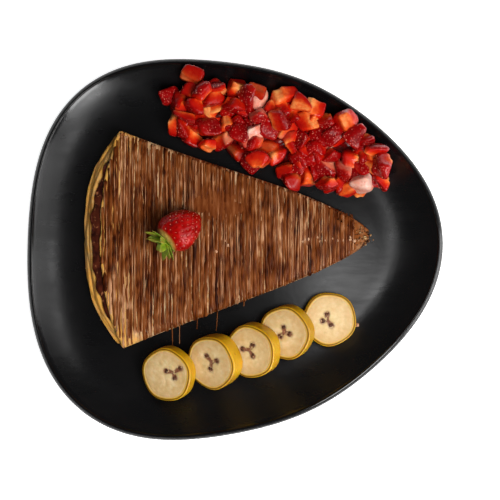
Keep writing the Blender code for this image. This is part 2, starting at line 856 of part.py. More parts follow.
def banana_frames():
    """The place of each slice, last to first: it leans on the near top edge of the next one."""
    row = math.radians(BANANA_ROW_DEG)
    along = Vector((math.cos(row), math.sin(row), 0.0))
    across = Vector((-along.y, along.x, 0.0))
    overhang = BANANA_RADIUS * BANANA_SIDE_DEPTH
    frames = []
    corner = None
    for i in reversed(range(len(BANANA_STEPS))):
        foot = BANANA_STEPS[i]
        lean = 0.0
        if corner:
            lean = math.atan2(corner[1] - FLOOR_HEIGHT, corner[0] - foot)
        place = Vector((*BANANA_FOOT, FLOOR_HEIGHT + GAP)) + along * foot + across * BANANA_SIDEWAYS[i]
        turn = Matrix.Rotation(row, 4, "Z") @ Matrix.Rotation(-lean, 4, "Y")
        frame = Matrix.Translation(place) @ turn
        lift = rest_on_plate([p for ring in banana_points(i, frame) for p in ring])
        frame = Matrix.Translation((0.0, 0.0, lift)) @ frame
        top = FLOOR_HEIGHT + GAP + lift + BANANA_THICKNESS[i] * math.cos(lean) + overhang * math.sin(lean)
        edge = foot - BANANA_THICKNESS[i] * math.sin(lean) - overhang
        corner = (edge, top + GAP)
        frames.insert(0, frame)
    return frames


def build_banana(index, frame, material):
    points, faces = loft(banana_points(index, frame))
    return make_object(f"banana_slice_{index + 1}", points, faces, material)


def main():
    clear_scene()
    glaze = make_material("black_glaze", (0.012, 0.012, 0.013), 0.32)
    crepe_brown = make_material("crepe_with_chocolate", (0.16, 0.055, 0.018), 0.45)
    spread = make_material("chocolate_spread", (0.060, 0.018, 0.008), 0.35)
    strawberry = make_material("strawberry_red", (0.42, 0.020, 0.012), 0.25)
    leaf = make_material("strawberry_leaf", (0.13, 0.20, 0.03), 0.5)
    banana = make_material("banana_flesh_and_peel", (0.72, 0.52, 0.22), 0.45)
    build_plate(glaze)
    build_crepe(crepe_brown)
    build_spread(spread)
    build_heap(strawberry)
    frame = berry_frame()
    build_berry(strawberry, frame)
    build_calyx(leaf, frame)
    for index, slice_frame in enumerate(banana_frames()):
        build_banana(index, slice_frame, banana)


main()
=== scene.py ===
# %% [markdown]
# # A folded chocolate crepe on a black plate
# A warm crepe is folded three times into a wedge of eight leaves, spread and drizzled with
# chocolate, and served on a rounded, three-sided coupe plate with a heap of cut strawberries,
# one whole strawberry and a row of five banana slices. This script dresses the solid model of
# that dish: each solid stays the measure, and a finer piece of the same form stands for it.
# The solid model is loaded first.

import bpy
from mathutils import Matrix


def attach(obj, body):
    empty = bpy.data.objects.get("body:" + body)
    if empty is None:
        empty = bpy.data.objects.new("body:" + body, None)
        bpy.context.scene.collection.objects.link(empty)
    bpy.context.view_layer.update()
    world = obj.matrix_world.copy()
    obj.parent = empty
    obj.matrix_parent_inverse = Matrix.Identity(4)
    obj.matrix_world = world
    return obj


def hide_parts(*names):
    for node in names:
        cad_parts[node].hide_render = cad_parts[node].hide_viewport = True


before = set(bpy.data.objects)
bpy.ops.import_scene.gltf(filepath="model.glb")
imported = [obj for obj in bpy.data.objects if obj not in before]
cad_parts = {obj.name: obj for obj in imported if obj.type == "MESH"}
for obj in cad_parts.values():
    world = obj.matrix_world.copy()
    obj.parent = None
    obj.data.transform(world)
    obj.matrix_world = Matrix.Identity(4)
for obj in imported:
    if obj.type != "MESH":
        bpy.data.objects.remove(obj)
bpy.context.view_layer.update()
print("solids:", ", ".join(sorted(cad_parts)))

# %% [markdown]
# Everything below is built as plain arrays of points, because food has no straight edges and
# a formula for a surface is easy to bend a little everywhere. The helpers make soft steps,
# smooth random fields, grids of faces, and finished pieces that ride on the dish.

# %% Helpers for shapes
import math
import random

import bmesh
import bpy
import numpy as np
from mathutils import Matrix, Vector
from mathutils.bvhtree import BVHTree

# The gap that the solids keep to each other.
GAP = 0.0004
RIPPLE_WAVES = 8


def smooth(value):
    t = np.clip(value, 0.0, 1.0)
    return t * t * (3.0 - 2.0 * t)


def unit(vectors):
    """The same directions at length one."""
    return vectors / np.maximum(np.linalg.norm(vectors, axis=-1, keepdims=True), 1e-9)


def together(*columns):
    """Points from their coordinates, each a number or an array."""
    return np.stack(np.broadcast_arrays(*columns), axis=-1)


def ripple(points, wavelength, seed):
    """A smooth random field of about one unit: sine waves in random directions."""
    draw = np.random.default_rng(seed)
    points = np.asarray(points, dtype=float)
    field = np.zeros(points.shape[:-1])
    for _ in range(RIPPLE_WAVES):
        way = draw.normal(size=points.shape[-1])
        way /= np.linalg.norm(way) * wavelength * draw.uniform(0.7, 1.4)
        field += np.sin(math.tau * (points @ way) + draw.uniform(0.0, math.tau))
    return field / math.sqrt(RIPPLE_WAVES / 2.0)


def grid_faces(rows, columns, start=0, closed=False):
    """Quads of a grid of points kept row by row; closed joins its last column to its first."""
    i, j = np.meshgrid(
        np.arange(rows - 1), np.arange(columns if closed else columns - 1), indexing="ij"
    )
    k = (j + 1) % columns
    corners = (i * columns + j, i * columns + k, (i + 1) * columns + k, (i + 1) * columns + j)
    return (np.stack(corners, axis=-1).reshape(-1, 4) + start).tolist()


def slab_faces(rows, columns):
    """Faces of a sheet with two sides: a grid, another below it, and a wall round the border."""
    under = rows * columns
    faces = grid_faces(rows, columns) + [face[::-1] for face in grid_faces(rows, columns, under)]
    border = list(range(columns)) + [i * columns + columns - 1 for i in range(1, rows)]
    border += [(rows - 1) * columns + j for j in range(columns - 2, -1, -1)]
    border += [i * columns for i in range(rows - 2, 0, -1)]
    return faces + [(a, b, b + under, a + under) for a, b in zip(border, border[1:] + border[:1])]


def capped_faces(rings, sides):
    """Faces of rings of points from one end of a closed form to the other, with both ends shut."""
    caps = [list(range(sides))[::-1], list(range((rings - 1) * sides, rings * sides))]
    return grid_faces(rings, sides, closed=True) + caps


def pointed_faces(rings, sides):
    """The same with a middle point at each end; the two middles come after the rings."""
    last, middle = (rings - 1) * sides, rings * sides
    fans = [(k, (k + 1) % sides, middle) for k in range(sides)]
    fans += [(last + k, last + (k + 1) % sides, middle + 1) for k in range(sides)]
    return grid_faces(rings, sides, closed=True) + fans


def make_piece(name, points, faces, material, stands_for=(), marks=None):
    """A piece of the dish; marks are values at its points that its material reads."""
    mesh = bpy.data.meshes.new(name)
    mesh.from_pydata(np.asarray(points).reshape(-1, 3).tolist(), [], faces)
    for label, values in (marks or {}).items():
        layer = mesh.attributes.new(label, "FLOAT", "POINT")
        layer.data.foreach_set("value", np.asarray(values, dtype=np.float32).ravel())
    shape = bmesh.new()
    shape.from_mesh(mesh)
    bmesh.ops.recalc_face_normals(shape, faces=shape.faces)
    shape.to_mesh(mesh)
    shape.free()
    mesh.polygons.foreach_set("use_smooth", [True] * len(mesh.polygons))
    mesh.materials.append(material)
    piece = bpy.data.objects.new(name, mesh)
    bpy.context.scene.collection.objects.link(piece)
    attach(piece, "root")
    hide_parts(*stands_for)
    print(f"{name}: {len(mesh.polygons)} faces")


def join(parts):
    """One list of points and faces from many."""
    points, faces, count = [], [], 0
    for part_points, part_faces in parts:
        part_points = np.asarray(part_points).reshape(-1, 3)
        points.append(part_points)
        faces += [[index + count for index in face] for face in part_faces]
        count += len(part_points)
    return np.concatenate(points), faces


# %% [markdown]
# Each material is made of shader nodes: noises at the sizes that the real food shows, ramps
# that turn them into colours, and a small bump. Numbers that are the same all over a surface
# are set straight on the shader. Colours are written as they look, from 0 to 255.

# %% Helpers for materials


def tone(red, green, blue):
    """A colour as seen, turned into the linear light that shaders use."""
    parts = [v / 255 for v in (red, green, blue)]
    return (*[v / 12.92 if v < 0.04 else ((v + 0.055) / 1.055) ** 2.4 for v in parts], 1.0)


def grey(value):
    """A number for a socket that takes a colour."""
    return (value, value, value, 1.0)


class Paint:
    """One material, with short names for the nodes that it needs."""

    def __init__(self, name, **settings):
        self.material = bpy.data.materials.new(name)
        self.material.use_nodes = True
        self.tree = self.material.node_tree
        self.shader = self.tree.nodes["Principled BSDF"]
        for label, value in settings.items():
            self.shader.inputs[label.replace("_", " ")].default_value = value
        self.place = self.tree.nodes.new("ShaderNodeTexCoord").outputs["Object"]

    def plug(self, socket, value):
        if isinstance(value, bpy.types.NodeSocket):
            self.tree.links.new(value, socket)
        else:
            socket.default_value = value

    def node(self, kind, inputs, **settings):
        made = self.tree.nodes.new(kind)
        for label, value in settings.items():
            setattr(made, label, value)
        for label, value in inputs.items():
            self.plug(made.inputs[label], value)
        return made

    def noise(self, scale, detail=4.0, rough=0.55, place=None):
        inputs = {"Vector": place or self.place, "Scale": scale, "Detail": detail, "Roughness": rough}
        return self.node("ShaderNodeTexNoise", inputs).outputs["Fac"]

    def drawn_out(self, stretch, detail, rough=0.6):
        """Noise with a scale of its own along each way."""
        place = self.node("ShaderNodeMapping", {"Vector": self.place, "Scale": stretch}).outputs["Vector"]
        return self.noise(1.0, detail, rough, place)

    def cells(self, scale):
        inputs = {"Vector": self.place, "Scale": scale}
        return self.node("ShaderNodeTexVoronoi", inputs).outputs["Distance"]

    def mark(self, label):
        return self.node("ShaderNodeAttribute", {}, attribute_name=label).outputs["Fac"]

    def ramp(self, value, *stops):
        made = self.node("ShaderNodeValToRGB", {"Fac": value})
        line = made.color_ramp
        while len(line.elements) < len(stops):
            line.elements.new(1.0)
        for element, (place, colour) in zip(line.elements, stops):
            element.position = place
            element.color = tone(*colour)
        return made.outputs["Color"]

    def step(self, value, low, high, bottom=0.0, top=1.0):
        inputs = {"Value": value, "From Min": low, "From Max": high, "To Min": bottom, "To Max": top}
        return self.node("ShaderNodeMapRange", inputs, interpolation_type="SMOOTHSTEP").outputs["Result"]

    def between(self, noise, low, high):
        """A value that wanders between two numbers as a noise does."""
        return self.step(noise, 0.3, 0.7, low, high)

    def maths(self, operation, first, second):
        return self.node("ShaderNodeMath", {0: first, 1: second}, operation=operation).outputs[0]

    def add(self, first, second):
        return self.maths("ADD", first, second)

    def times(self, first, second):
        return self.maths("MULTIPLY", first, second)

    def mix(self, share, first, second):
        """Blends two colours, each a socket, a grey, or three numbers as the colour is seen."""
        ends = [tone(*v) if isinstance(v, tuple) and len(v) == 3 else v for v in (first, second)]
        made = self.node("ShaderNodeMix", {0: share, 6: ends[0], 7: ends[1]}, data_type="RGBA")
        return made.outputs[2]

    def bump(self, height, distance, under=None):
        inputs = {"Height": height, "Distance": distance}
        if under:
            inputs["Normal"] = under
        return self.node("ShaderNodeBump", inputs).outputs["Normal"]

    def done(self, **outputs):
        for label, value in outputs.items():
            self.plug(self.shader.inputs[label.replace("_", " ")], value)
        return self.material


# %% [markdown]
# ## The plate
# A coupe plate has no separate rim: its floor curves up all round. Its edge is a circle with a
# few long waves, so it reads as a rounded triangle. It is stoneware, pressed and glazed in a
# satin black that pools a little glossier at the lip; the foot ring stands on the table and is
# wiped bare of glaze. The profile is the solid's own, with its corners rounded and a lip that
# curves over more softly, so that light runs along it.

# %% The plate's form
PLATE_WAVES = (
    (2, 0.00627, 5.9),
    (3, 0.00813, 0.9),
    (4, 0.00174, 43.9),
    (5, 0.00159, 0.5),
    (6, 0.00079, 2.3),
)
PLATE_MEAN_RADIUS = 0.1360
PLATE_TRIM = 0.0003
HUB = (-0.009695, 0.000888)
FLOOR_HEIGHT = 0.0070
PLATE_THICKNESS = 0.0042
WALL_WIDTH = 0.0380
WALL_RISE = 0.0155
LIP_INSET = 0.0028
FOOT_INSET = 0.0560
FOOT_WIDTH = 0.0060


def outline_radius(angle):
    """The plate's edge from its hub; each wave is a count, a height and the angle of a crest."""
    waves = [high * np.cos(count * (angle - math.radians(crest))) for count, high, crest in PLATE_WAVES]
    return PLATE_MEAN_RADIUS + sum(waves)


def wall_height(inset):
    climb = np.clip((WALL_WIDTH - inset) / (WALL_WIDTH - LIP_INSET), 0.0, 1.0)
    return FLOOR_HEIGHT + WALL_RISE * climb**2


def rim_inset(x, y):
    dx, dy = x - HUB[0], y - HUB[1]
    return outline_radius(np.arctan2(dy, dx)) - np.hypot(dx, dy)


def plate_height(x, y):
    return wall_height(rim_inset(x, y))


def plate_at(x, y):
    """The plate's height at one place, as a plain number."""
    return float(plate_height(x, y))


def plate_profile():
    """Corners of the profile as (inset, height): floor, wall, lip, underside, foot."""
    profile = [(inset, wall_height(inset)) for inset in (0.0560, 0.0450, 0.0380, 0.0330)]
    profile += [(inset, wall_height(inset)) for inset in np.linspace(0.0290, 0.0038, 10)]
    crest = wall_height(LIP_INSET)
    profile += [(0.0032, crest - 0.0001), (0.0027, crest + 0.0001), (0.0021, crest - 0.0002)]
    profile += [(0.0015, crest - 0.0007), (0.0009, crest - 0.0012), (0.0004, crest - 0.0018)]
    profile += [(0.0002, crest - 0.0026)]
    for inset in np.linspace(LIP_INSET, WALL_WIDTH, 9):
        slope = 2 * WALL_RISE * (WALL_WIDTH - inset) / (WALL_WIDTH - LIP_INSET) ** 2
        lean = math.atan(slope)
        under = wall_height(inset) - PLATE_THICKNESS * math.cos(lean)
        profile.append((inset - PLATE_THICKNESS * math.sin(lean) + 0.0002, under))
    base = FLOOR_HEIGHT - PLATE_THICKNESS
    inner = FOOT_INSET + FOOT_WIDTH
    profile += [(FOOT_INSET - 0.0012, base), (FOOT_INSET - 0.0002, 0.0008), (FOOT_INSET + 0.0008, 0.0)]
    profile += [(inner - 0.0008, 0.0), (inner + 0.0002, 0.0008), (inner + 0.0012, base)]
    profile += [(inner + 0.01, base)]
    return np.array(profile)


def curve_through(corners, steps):
    """Points on a smooth curve that passes through the corners."""
    padded = np.concatenate([corners[:1], corners, corners[-1:]])
    before, start, end, after = padded[:-3], padded[1:-2], padded[2:-1], padded[3:]
    points = []
    for k in range(steps):
        t = k / steps
        points.append(
            0.5 * (2 * start + (end - before) * t + (2 * before - 5 * start + 4 * end - after) * t**2)
            + 0.5 * (3 * start - before - 3 * end + after) * t**3
        )
    return np.concatenate([np.stack(points, axis=1).reshape(-1, corners.shape[1]), corners[-1:]])


profile = curve_through(plate_profile(), 3)
profile[:, 1] = np.maximum(profile[:, 1], 0.0)
angles = np.linspace(0.0, math.tau, 300, endpoint=False)
radius = outline_radius(angles)[None, :] - profile[:, :1] - PLATE_TRIM
plate_points = together(
    HUB[0] + radius * np.cos(angles), HUB[1] + radius * np.sin(angles), profile[:, 1:]
)
centres = [(*HUB, FLOOR_HEIGHT), (*HUB, FLOOR_HEIGHT - PLATE_THICKNESS)]
plate_points = np.concatenate([plate_points.reshape(-1, 3), centres])
plate_faces = pointed_faces(len(profile), len(angles))

# %% The plate's glaze
paint = Paint("black_satin_glaze")
height = paint.node("ShaderNodeSeparateXYZ", {"Vector": paint.place}).outputs["Z"]
foot = paint.step(height, 0.0006, 0.0014, 1.0, 0.0)
lip = paint.step(height, 0.0196, 0.0212)
cloud = paint.noise(34.0, 3.0)
smears = paint.drawn_out((26.0, 150.0, 60.0), 5.0)
shade = paint.ramp(cloud, (0.35, (7, 7, 8)), (0.70, (12, 11, 12)))
shade = paint.mix(foot, shade, (92, 82, 74))
gloss = paint.add(paint.step(smears, 0.35, 0.75, 0.27, 0.34), paint.between(cloud, -0.02, 0.02))
gloss = paint.mix(lip, gloss, grey(0.16))
gloss = paint.mix(foot, gloss, grey(0.85))
normal = paint.bump(paint.noise(420.0, 2.0), 0.00003, paint.bump(paint.noise(60.0, 2.0), 0.00012))
glaze = paint.done(Base_Color=shade, Roughness=gloss, Normal=normal)
make_piece("glazed_plate", plate_points, plate_faces, glaze, ("plate",))

# %% [markdown]
# ## The crepe
# A crepe is one round sheet, about a millimetre thick. Folded in half three times it becomes
# a wedge of eight leaves, an eighth of the disc. Followed round at a fixed distance from the
# tip, the sheet is one closed loop: eight leaves joined by eight turns, four on each side. The
# four turns on the near side sit inside one another, and the last of them wraps the whole
# stack. So the sheet is drawn as that loop, at many distances from the tip, and given its
# thickness afterwards. The first functions turn a distance from the tip, and a place across
# the wavy wedge, into a place on the dish.

# %% The wedge
CREPE_APEX = (0.0933, 0.0089)
CREPE_AXIS = math.radians(180.5)
CREPE_HALF_ANGLE = math.radians(23.4)
CREPE_RADIUS = 0.1965
CREPE_THICKNESS = 0.0133
TIP_START = 0.0022


def arc_radius(phi):
    return CREPE_RADIUS - 0.0100 * np.abs(phi) ** 3.5


def top_radius(phi):
    return arc_radius(phi) - 0.0112 * (1.0 - np.minimum(np.abs(phi), 1.0) ** 2.5) - 0.0008


def swell(reach, phi):
    share = np.clip(reach / CREPE_RADIUS, 0.0, 1.0)
    return np.where(phi > 0, 0.0090, 0.0065) * 3.5 * np.sqrt(share) * (1.0 - share) ** 2


def wedge_point(reach, phi):
    """The place on the dish at a distance from the tip, phi running from -1 to 1 across."""
    angle = CREPE_AXIS - phi * CREPE_HALF_ANGLE
    x = CREPE_APEX[0] + reach * np.cos(angle)
    return x, CREPE_APEX[1] + reach * np.sin(angle) + phi * swell(reach, phi)


def half_width(reach):
    return reach * math.sin(CREPE_HALF_ANGLE) + swell(reach, 1.0)


def reach_at(x, phi):
    return (x - CREPE_APEX[0]) / np.cos(CREPE_AXIS - phi * CREPE_HALF_ANGLE)


def wedge_coordinates(x, y):
    """(reach, phi) of points, found by halving."""
    x, y = np.broadcast_arrays(np.asarray(x, dtype=float), np.asarray(y, dtype=float))
    low, high = np.full(x.shape, -1.6), np.full(x.shape, 1.6)
    for _ in range(40):
        phi = (low + high) / 2
        short = wedge_point(reach_at(x, phi), phi)[1] < y
        low, high = np.where(short, phi, low), np.where(short, high, phi)
    return reach_at(x, phi), phi


def thickness_at(reach, phi):
    x, y = wedge_point(reach, phi)
    share = 0.62 + 0.38 * smooth(reach / 0.070)
    edge = (1.0 - smooth((1.0 - np.abs(phi)) * half_width(reach) / 0.009)) * 0.16
    arc = (1.0 - smooth((arc_radius(phi) - reach) / 0.012)) * 0.16
    swells = np.sin(x * 71.0 + 1.2) * np.cos(y * 63.0 - 0.4) + 0.6 * np.sin(x * 37.0 + y * 88.0)
    return CREPE_THICKNESS * share * (1.0 - np.maximum(edge, arc)) + 0.0004 * swells * share


def crepe_height(reach, phi, share):
    x, y = wedge_point(reach, phi)
    return plate_height(x, y) + GAP + share * thickness_at(reach, phi)


# %% The folded sheet
# Height of each leaf as a share of the stack, and how far it reaches beyond the arc.
LEAF_SHARES = (0.055, 0.165, 0.275, 0.385, 0.495, 0.605, 0.700, 0.955)
LEAF_PULLS = (0.0003, -0.0010, -0.0004, 0.0004, -0.0010, -0.0024, -0.0034, 0.0)
# Leaves in the order in which the sheet runs through them, and the depth of each turn.
LEAF_ORDER = (6, 1, 2, 5, 4, 3, 0, 7)
TURN_DEPTHS = (1, 1, 1, 0, 3, 0, 0, 0)
SHEET_ROWS = 120


def sheet_loop():
    """The loop as arrays: a and b of across = a + b / half width, share of the height, the
    leaves before and after and the mix of them, and how much chocolate film is on top."""
    loop, ends = [], []
    for step in range(8):
        first, second = LEAF_ORDER[step], LEAF_ORDER[(step + 1) % 8]
        side = -1 if step % 2 == 0 else 1
        half = abs(LEAF_SHARES[first] - LEAF_SHARES[second]) / 2
        bulge = min(half * CREPE_THICKNESS * 0.85, 0.0044)
        tip = TURN_DEPTHS[step] * 0.0013 + (-0.0007 if side < 0 else 0.0006)
        ends.append((side, tip, bulge, half))
    for step in range(8):
        leaf, following = LEAF_ORDER[step], LEAF_ORDER[(step + 1) % 8]
        side_in, tip_in, bulge_in, _ = ends[step - 1]
        side, tip, bulge, half = ends[step]
        start, end = tip_in + bulge_in, tip + bulge
        count = 64 if leaf == 7 else 20
        for t in (np.arange(count) + 0.5) / count:
            a = (1 - t) * side_in + t * side
            b = -((1 - t) * side_in * start + t * side * end)
            loop.append((a, b, LEAF_SHARES[leaf], leaf, leaf, 0.0, 1.0 if leaf == 7 else 0.0))
        middle = (LEAF_SHARES[leaf] + LEAF_SHARES[following]) / 2
        rise = 1 if LEAF_SHARES[following] > LEAF_SHARES[leaf] else -1
        count = 18 if half > 0.2 else 9
        for k in range(count):
            turn = math.pi * ((k + 0.5) / count - 0.5)
            share = middle + rise * half * math.sin(turn)
            b = -side * (tip + bulge * (1 - math.cos(turn)))
            film = float(smooth((share - 0.50) / 0.20))
            loop.append((side, b, share, leaf, following, (1 + math.sin(turn)) / 2, film))
    return [np.array(column) for column in zip(*loop)]


loop_a, loop_b, loop_share, leaf_before, leaf_after, leaf_mix, loop_film = sheet_loop()


def leaf_radius(leaf, phi):
    """How far each leaf reaches, a little uneven along its edge."""
    edge = together(phi * 0.08, leaf * 0.031)
    field = ripple(edge, 0.022, 3) + 0.5 * ripple(edge, 0.007, 4)
    pulls = np.array(LEAF_PULLS)[leaf.astype(int)]
    lower = arc_radius(phi) + pulls + 0.0005 * field
    return np.where(leaf == 7, top_radius(phi) + 0.0004 * field, lower)


def across(reach):
    """Where each point of the loop lies across the wedge, from -1 to 1."""
    wide = half_width(reach)
    return loop_a + loop_b * np.minimum(wide / 0.016, 1.0) / wide


phi_at_arc = across(np.full(loop_a.shape, 0.19))
loop_radius = (1 - leaf_mix) * leaf_radius(leaf_before, phi_at_arc)
loop_radius += leaf_mix * leaf_radius(leaf_after, phi_at_arc)
travel = np.linspace(0.0, 1.0, SHEET_ROWS)[:, None] ** 0.92
reach = TIP_START + (loop_radius - TIP_START) * travel
phi = across(reach)
x, y = wedge_point(reach, phi)
z = crepe_height(reach, phi, loop_share)
spread_out = together(x, y, loop_share * 0.06)
field = ripple(spread_out, 0.030, 7) + 0.5 * ripple(spread_out, 0.011, 8)
middle = together(x, y, z + (0.00006 + 0.00014 * loop_share) * field)
along = np.gradient(middle, axis=0)
around = np.roll(middle, -1, axis=1) - np.roll(middle, 1, axis=1)
normals = unit(np.cross(around, along))
to_edge = (loop_radius - reach) * np.ones_like(x)
sheet_half = 0.040 * thickness_at(reach, phi) * (1.0 - 0.40 * (1.0 - smooth(to_edge / 0.006)))
offset = normals * sheet_half[..., None]
rows, columns = x.shape
sheet_points = np.concatenate([(middle + offset).reshape(-1, 3), (middle - offset).reshape(-1, 3)])
sheet_faces = grid_faces(rows, columns, closed=True)
sheet_faces += [face[::-1] for face in grid_faces(rows, columns, rows * columns, closed=True)]
for row in (0, rows - 1):
    start, back = row * columns, rows * columns + row * columns
    for j in range(columns):
        k = (j + 1) % columns
        sheet_faces.append((start + j, start + k, back + k, back + j))
film = loop_film * smooth(to_edge / 0.002) * smooth((0.0815 - x) / 0.003)
print("sheet loop:", columns, "points round,", rows, "rows")

# %% [markdown]
# The griddle leaves a brown lace on the pale batter, which is golden towards the sheet's thin
# edge and scorched at its tip. Near the edge the golden colour is partly painted light: it is
# lighter and reaches further in than browning would, so that the leaf edges at the arc, which
# lie in shade, look lit. The top leaf also carries a thin film of chocolate, dragged across it
# from side to side; cream coloured batter shows between the streaks, mostly near the far left
# and near left corners. One pale strip between the pool and the tip is painted glare: there the
# chocolate is thinned and its strands are paler.

# %% The crepe's material
# (lowest x, highest x, lowest y, highest y, share of the chocolate that is missing)
BARE_AND_GLARE_PLACES = (
    (-0.080, -0.066, 0.076, 0.095, 0.62),
    (-0.060, -0.050, 0.067, 0.076, 0.62),
    (-0.087, -0.066, -0.066, -0.016, 0.30),
    (-0.092, -0.074, -0.080, -0.056, 0.46),
    (-0.074, -0.060, -0.080, -0.055, 0.44),
    (-0.060, -0.048, -0.080, -0.049, 0.46),
    (-0.0792, -0.0762, 0.036, 0.076, 0.42),
    (-0.0672, -0.0645, 0.046, 0.074, 0.40),
    # Painted glare: in this strip the chocolate is thinned and its strands are paler, for the sheen of the
    # light on it.
    (0.0290, 0.0352, -0.0090, 0.0240, 0.46),
    (0.0155, 0.0188, -0.0150, 0.0440, 0.44),
    (0.0455, 0.0500, 0.0020, 0.0240, 0.44),
    (-0.034, -0.014, -0.045, -0.008, 0.20),
    (-0.056, -0.040, -0.055, -0.020, 0.20),
)


def bare_at(x, y):
    """Share of the chocolate that is missing at a place on the top leaf; in one strip this is painted
    glare.
    """
    missing = smooth((x - 0.0795) / 0.004)
    for low_x, high_x, low_y, high_y, amount in BARE_AND_GLARE_PLACES:
        inside = smooth((x - low_x) / 0.003 + 0.5) * smooth((high_x - x) / 0.003 + 0.5)
        inside = inside * smooth((y - low_y) / 0.006 + 0.5) * smooth((high_y - y) / 0.006 + 0.5)
        missing = np.maximum(missing, inside * amount)
    return missing


sheet_marks = {
    "edge": 1.0 - smooth(to_edge / 0.024),
    "film": film,
    "bare": bare_at(x, y) ** 0.7,
    "tip": smooth((x - 0.066) / 0.012),
}

paint = Paint("crepe_batter", Subsurface_Weight=0.12, Subsurface_Scale=0.004, Specular_IOR_Level=0.2)
batter = paint.ramp(
    paint.noise(75.0), (0.32, (176, 130, 88)), (0.52, (200, 158, 116)), (0.70, (220, 186, 146))
)
lace = paint.times(paint.noise(330.0, 7.0, 0.68), paint.noise(48.0, 3.0))
batter = paint.mix(paint.step(lace, 0.24, 0.36), batter, (168, 110, 58))
batter = paint.mix(paint.step(lace, 0.33, 0.42, 0.0, 0.8), batter, (118, 66, 30))
# Painted light: the golden edge is the batter's own browning, but it is made lighter and reaches 24 mm in,
# so that the leaf edges at the arc, which lie in shade, look lit.
rim = paint.times(paint.mark("edge"), paint.step(paint.noise(120.0, 4.0), 0.35, 0.65, 0.55, 1.0))
batter = paint.mix(rim, batter, (248, 178, 82))
heated = paint.times(paint.mark("tip"), paint.step(paint.noise(190.0, 5.0), 0.36, 0.56, 0.80, 1.0))
batter = paint.mix(heated, batter, (128, 68, 24))
scorched = paint.times(paint.mark("tip"), paint.step(paint.noise(310.0, 3.0), 0.52, 0.62))
batter = paint.mix(scorched, batter, (48, 20, 6))
streaks = paint.drawn_out((620.0, 22.0, 40.0), 5.0)
covered = paint.maths("SUBTRACT", paint.mark("film"), paint.times(paint.mark("bare"), 0.12))
film_share = paint.step(paint.maths("SUBTRACT", covered, streaks), 0.35, 0.49)
cocoa = paint.ramp(streaks, (0.30, (92, 44, 18)), (0.70, (128, 70, 34)))
colour = paint.mix(film_share, batter, cocoa)
rough = paint.mix(film_share, grey(0.72), grey(0.42))
normal = paint.bump(paint.noise(520.0, 5.0), 0.00012, paint.bump(paint.noise(140.0, 3.0), 0.0003))
crepe_batter = paint.done(Base_Color=colour, Roughness=rough, Normal=normal)
make_piece(
    "crepe_sheet",
    sheet_points,
    sheet_faces,
    crepe_batter,
    ("crepe",),
    {label: np.tile(values.ravel(), 2) for label, values in sheet_marks.items()},
)
surface = BVHTree.FromPolygons(sheet_points.tolist(), sheet_faces)


def drop_on_crepe(x, y):
    """Height of the crepe's top at a place, or None beside it."""
    hit = surface.ray_cast(Vector((x, y, 0.08)), Vector((0, 0, -1)))[0]
    return hit.z if hit and hit.z > 0.0135 else None


# %% [markdown]
# ## Chocolate
# The spread lies under the top leaf and shows as a dark band where that leaf stops short.
# The drizzle was poured in strands from side to side, about two millimetres apart. Each strand
# is a half-round bead laid over the sheet by dropping its line on to it; most run over a fold
# and a few on to the plate. Beside the berry the strands have run together into a smooth pool.

# %% The spread under the top leaf
rows, columns = 60, 70
u, v = np.meshgrid(np.linspace(0, 1, rows), np.linspace(-1, 1, columns), indexing="ij")
lumps = ripple(together(v * 0.08, 0.0), 0.013, 21)
reach = 0.040 + (arc_radius(v) - 0.0055 + 0.0007 * lumps - 0.040) * u
inset = np.minimum(0.0075 / half_width(reach), 0.7)
phi = v * (1.0 - inset)
x, y = wedge_point(reach, phi)
round_front = np.sqrt(np.clip(1.0 - ((u - 0.975) / 0.025).clip(0.0) ** 2, 0.0, 1.0))
lift = 0.00025 * ripple(together(x, y), 0.007, 22) * smooth((u - 0.90) / 0.05)
top = crepe_height(reach, phi, 0.828 + 0.036 * round_front) + lift
low = crepe_height(reach, phi, 0.828 - 0.030 * round_front)
band_points = np.stack([together(x, y, top), together(x, y, low)])

paint = Paint("chocolate_spread", Specular_IOR_Level=0.35)
colour = paint.ramp(paint.noise(160.0, 5.0), (0.35, (44, 12, 6)), (0.70, (92, 38, 20)))
colour = paint.mix(paint.step(paint.noise(420.0, 3.0), 0.60, 0.70, 0.0, 0.7), colour, (176, 112, 72))
normal = paint.bump(paint.noise(260.0, 4.0), 0.0003)
rough = paint.between(paint.noise(90.0, 3.0), 0.25, 0.45)
spread = paint.done(Base_Color=colour, Roughness=rough, Normal=normal)
band_faces = slab_faces(rows, columns)
replaced = ("chocolate_filling",)
make_piece("chocolate_spread_band", band_points, band_faces, spread, replaced)

# %% The strands
BEAD_SIDES = 7
# Beyond this x, close to the tip, strands start on the plate beside the far fold.
BLUNT_END = 0.0690
# An end of a strand lies at a fold where phi is beyond this, and otherwise at the open edge.
AT_FOLD = 0.97
# Where strands run out on to the plate on the near side, and how far.
SPILLS = {-0.0440: 0.013, -0.0380: 0.013, -0.0262: 0.008, -0.0126: 0.014, 0.0060: 0.004}
POOL_CENTRE = (-0.0110, 0.0300)
POOL_SIZE = (0.0200, 0.0120)


def bead(path, ups, widths, heights):
    """A half-round bead along a path; ups are the surface's normals under it."""
    path, ups = np.asarray(path), np.asarray(ups)
    sides = unit(np.cross(np.gradient(path, axis=0), ups))
    ring = []
    for k in range(BEAD_SIDES):
        turn = math.pi * k / (BEAD_SIDES - 1)
        out = sides * (np.asarray(widths) / 2 * math.cos(turn))[:, None]
        up = ups * (np.asarray(heights) * math.sin(turn) - 0.00015)[:, None]
        ring.append(path + out + up)
    return np.stack(ring, axis=1), capped_faces(len(path), BEAD_SIDES)


def top_stretch(x):
    """Lowest and highest y of the top leaf at a place along the crepe, and how far out they are."""
    ys = np.arange(-0.075, 0.095, 0.0004)
    reach, phi = wedge_coordinates(np.full(ys.shape, x), ys)
    on = (np.abs(phi) < 1.0) & (reach < top_radius(phi) - 0.0005) & (reach > TIP_START)
    return (ys[on].min(), ys[on].max(), abs(phi[on][0]), abs(phi[on][-1])) if on.any() else None


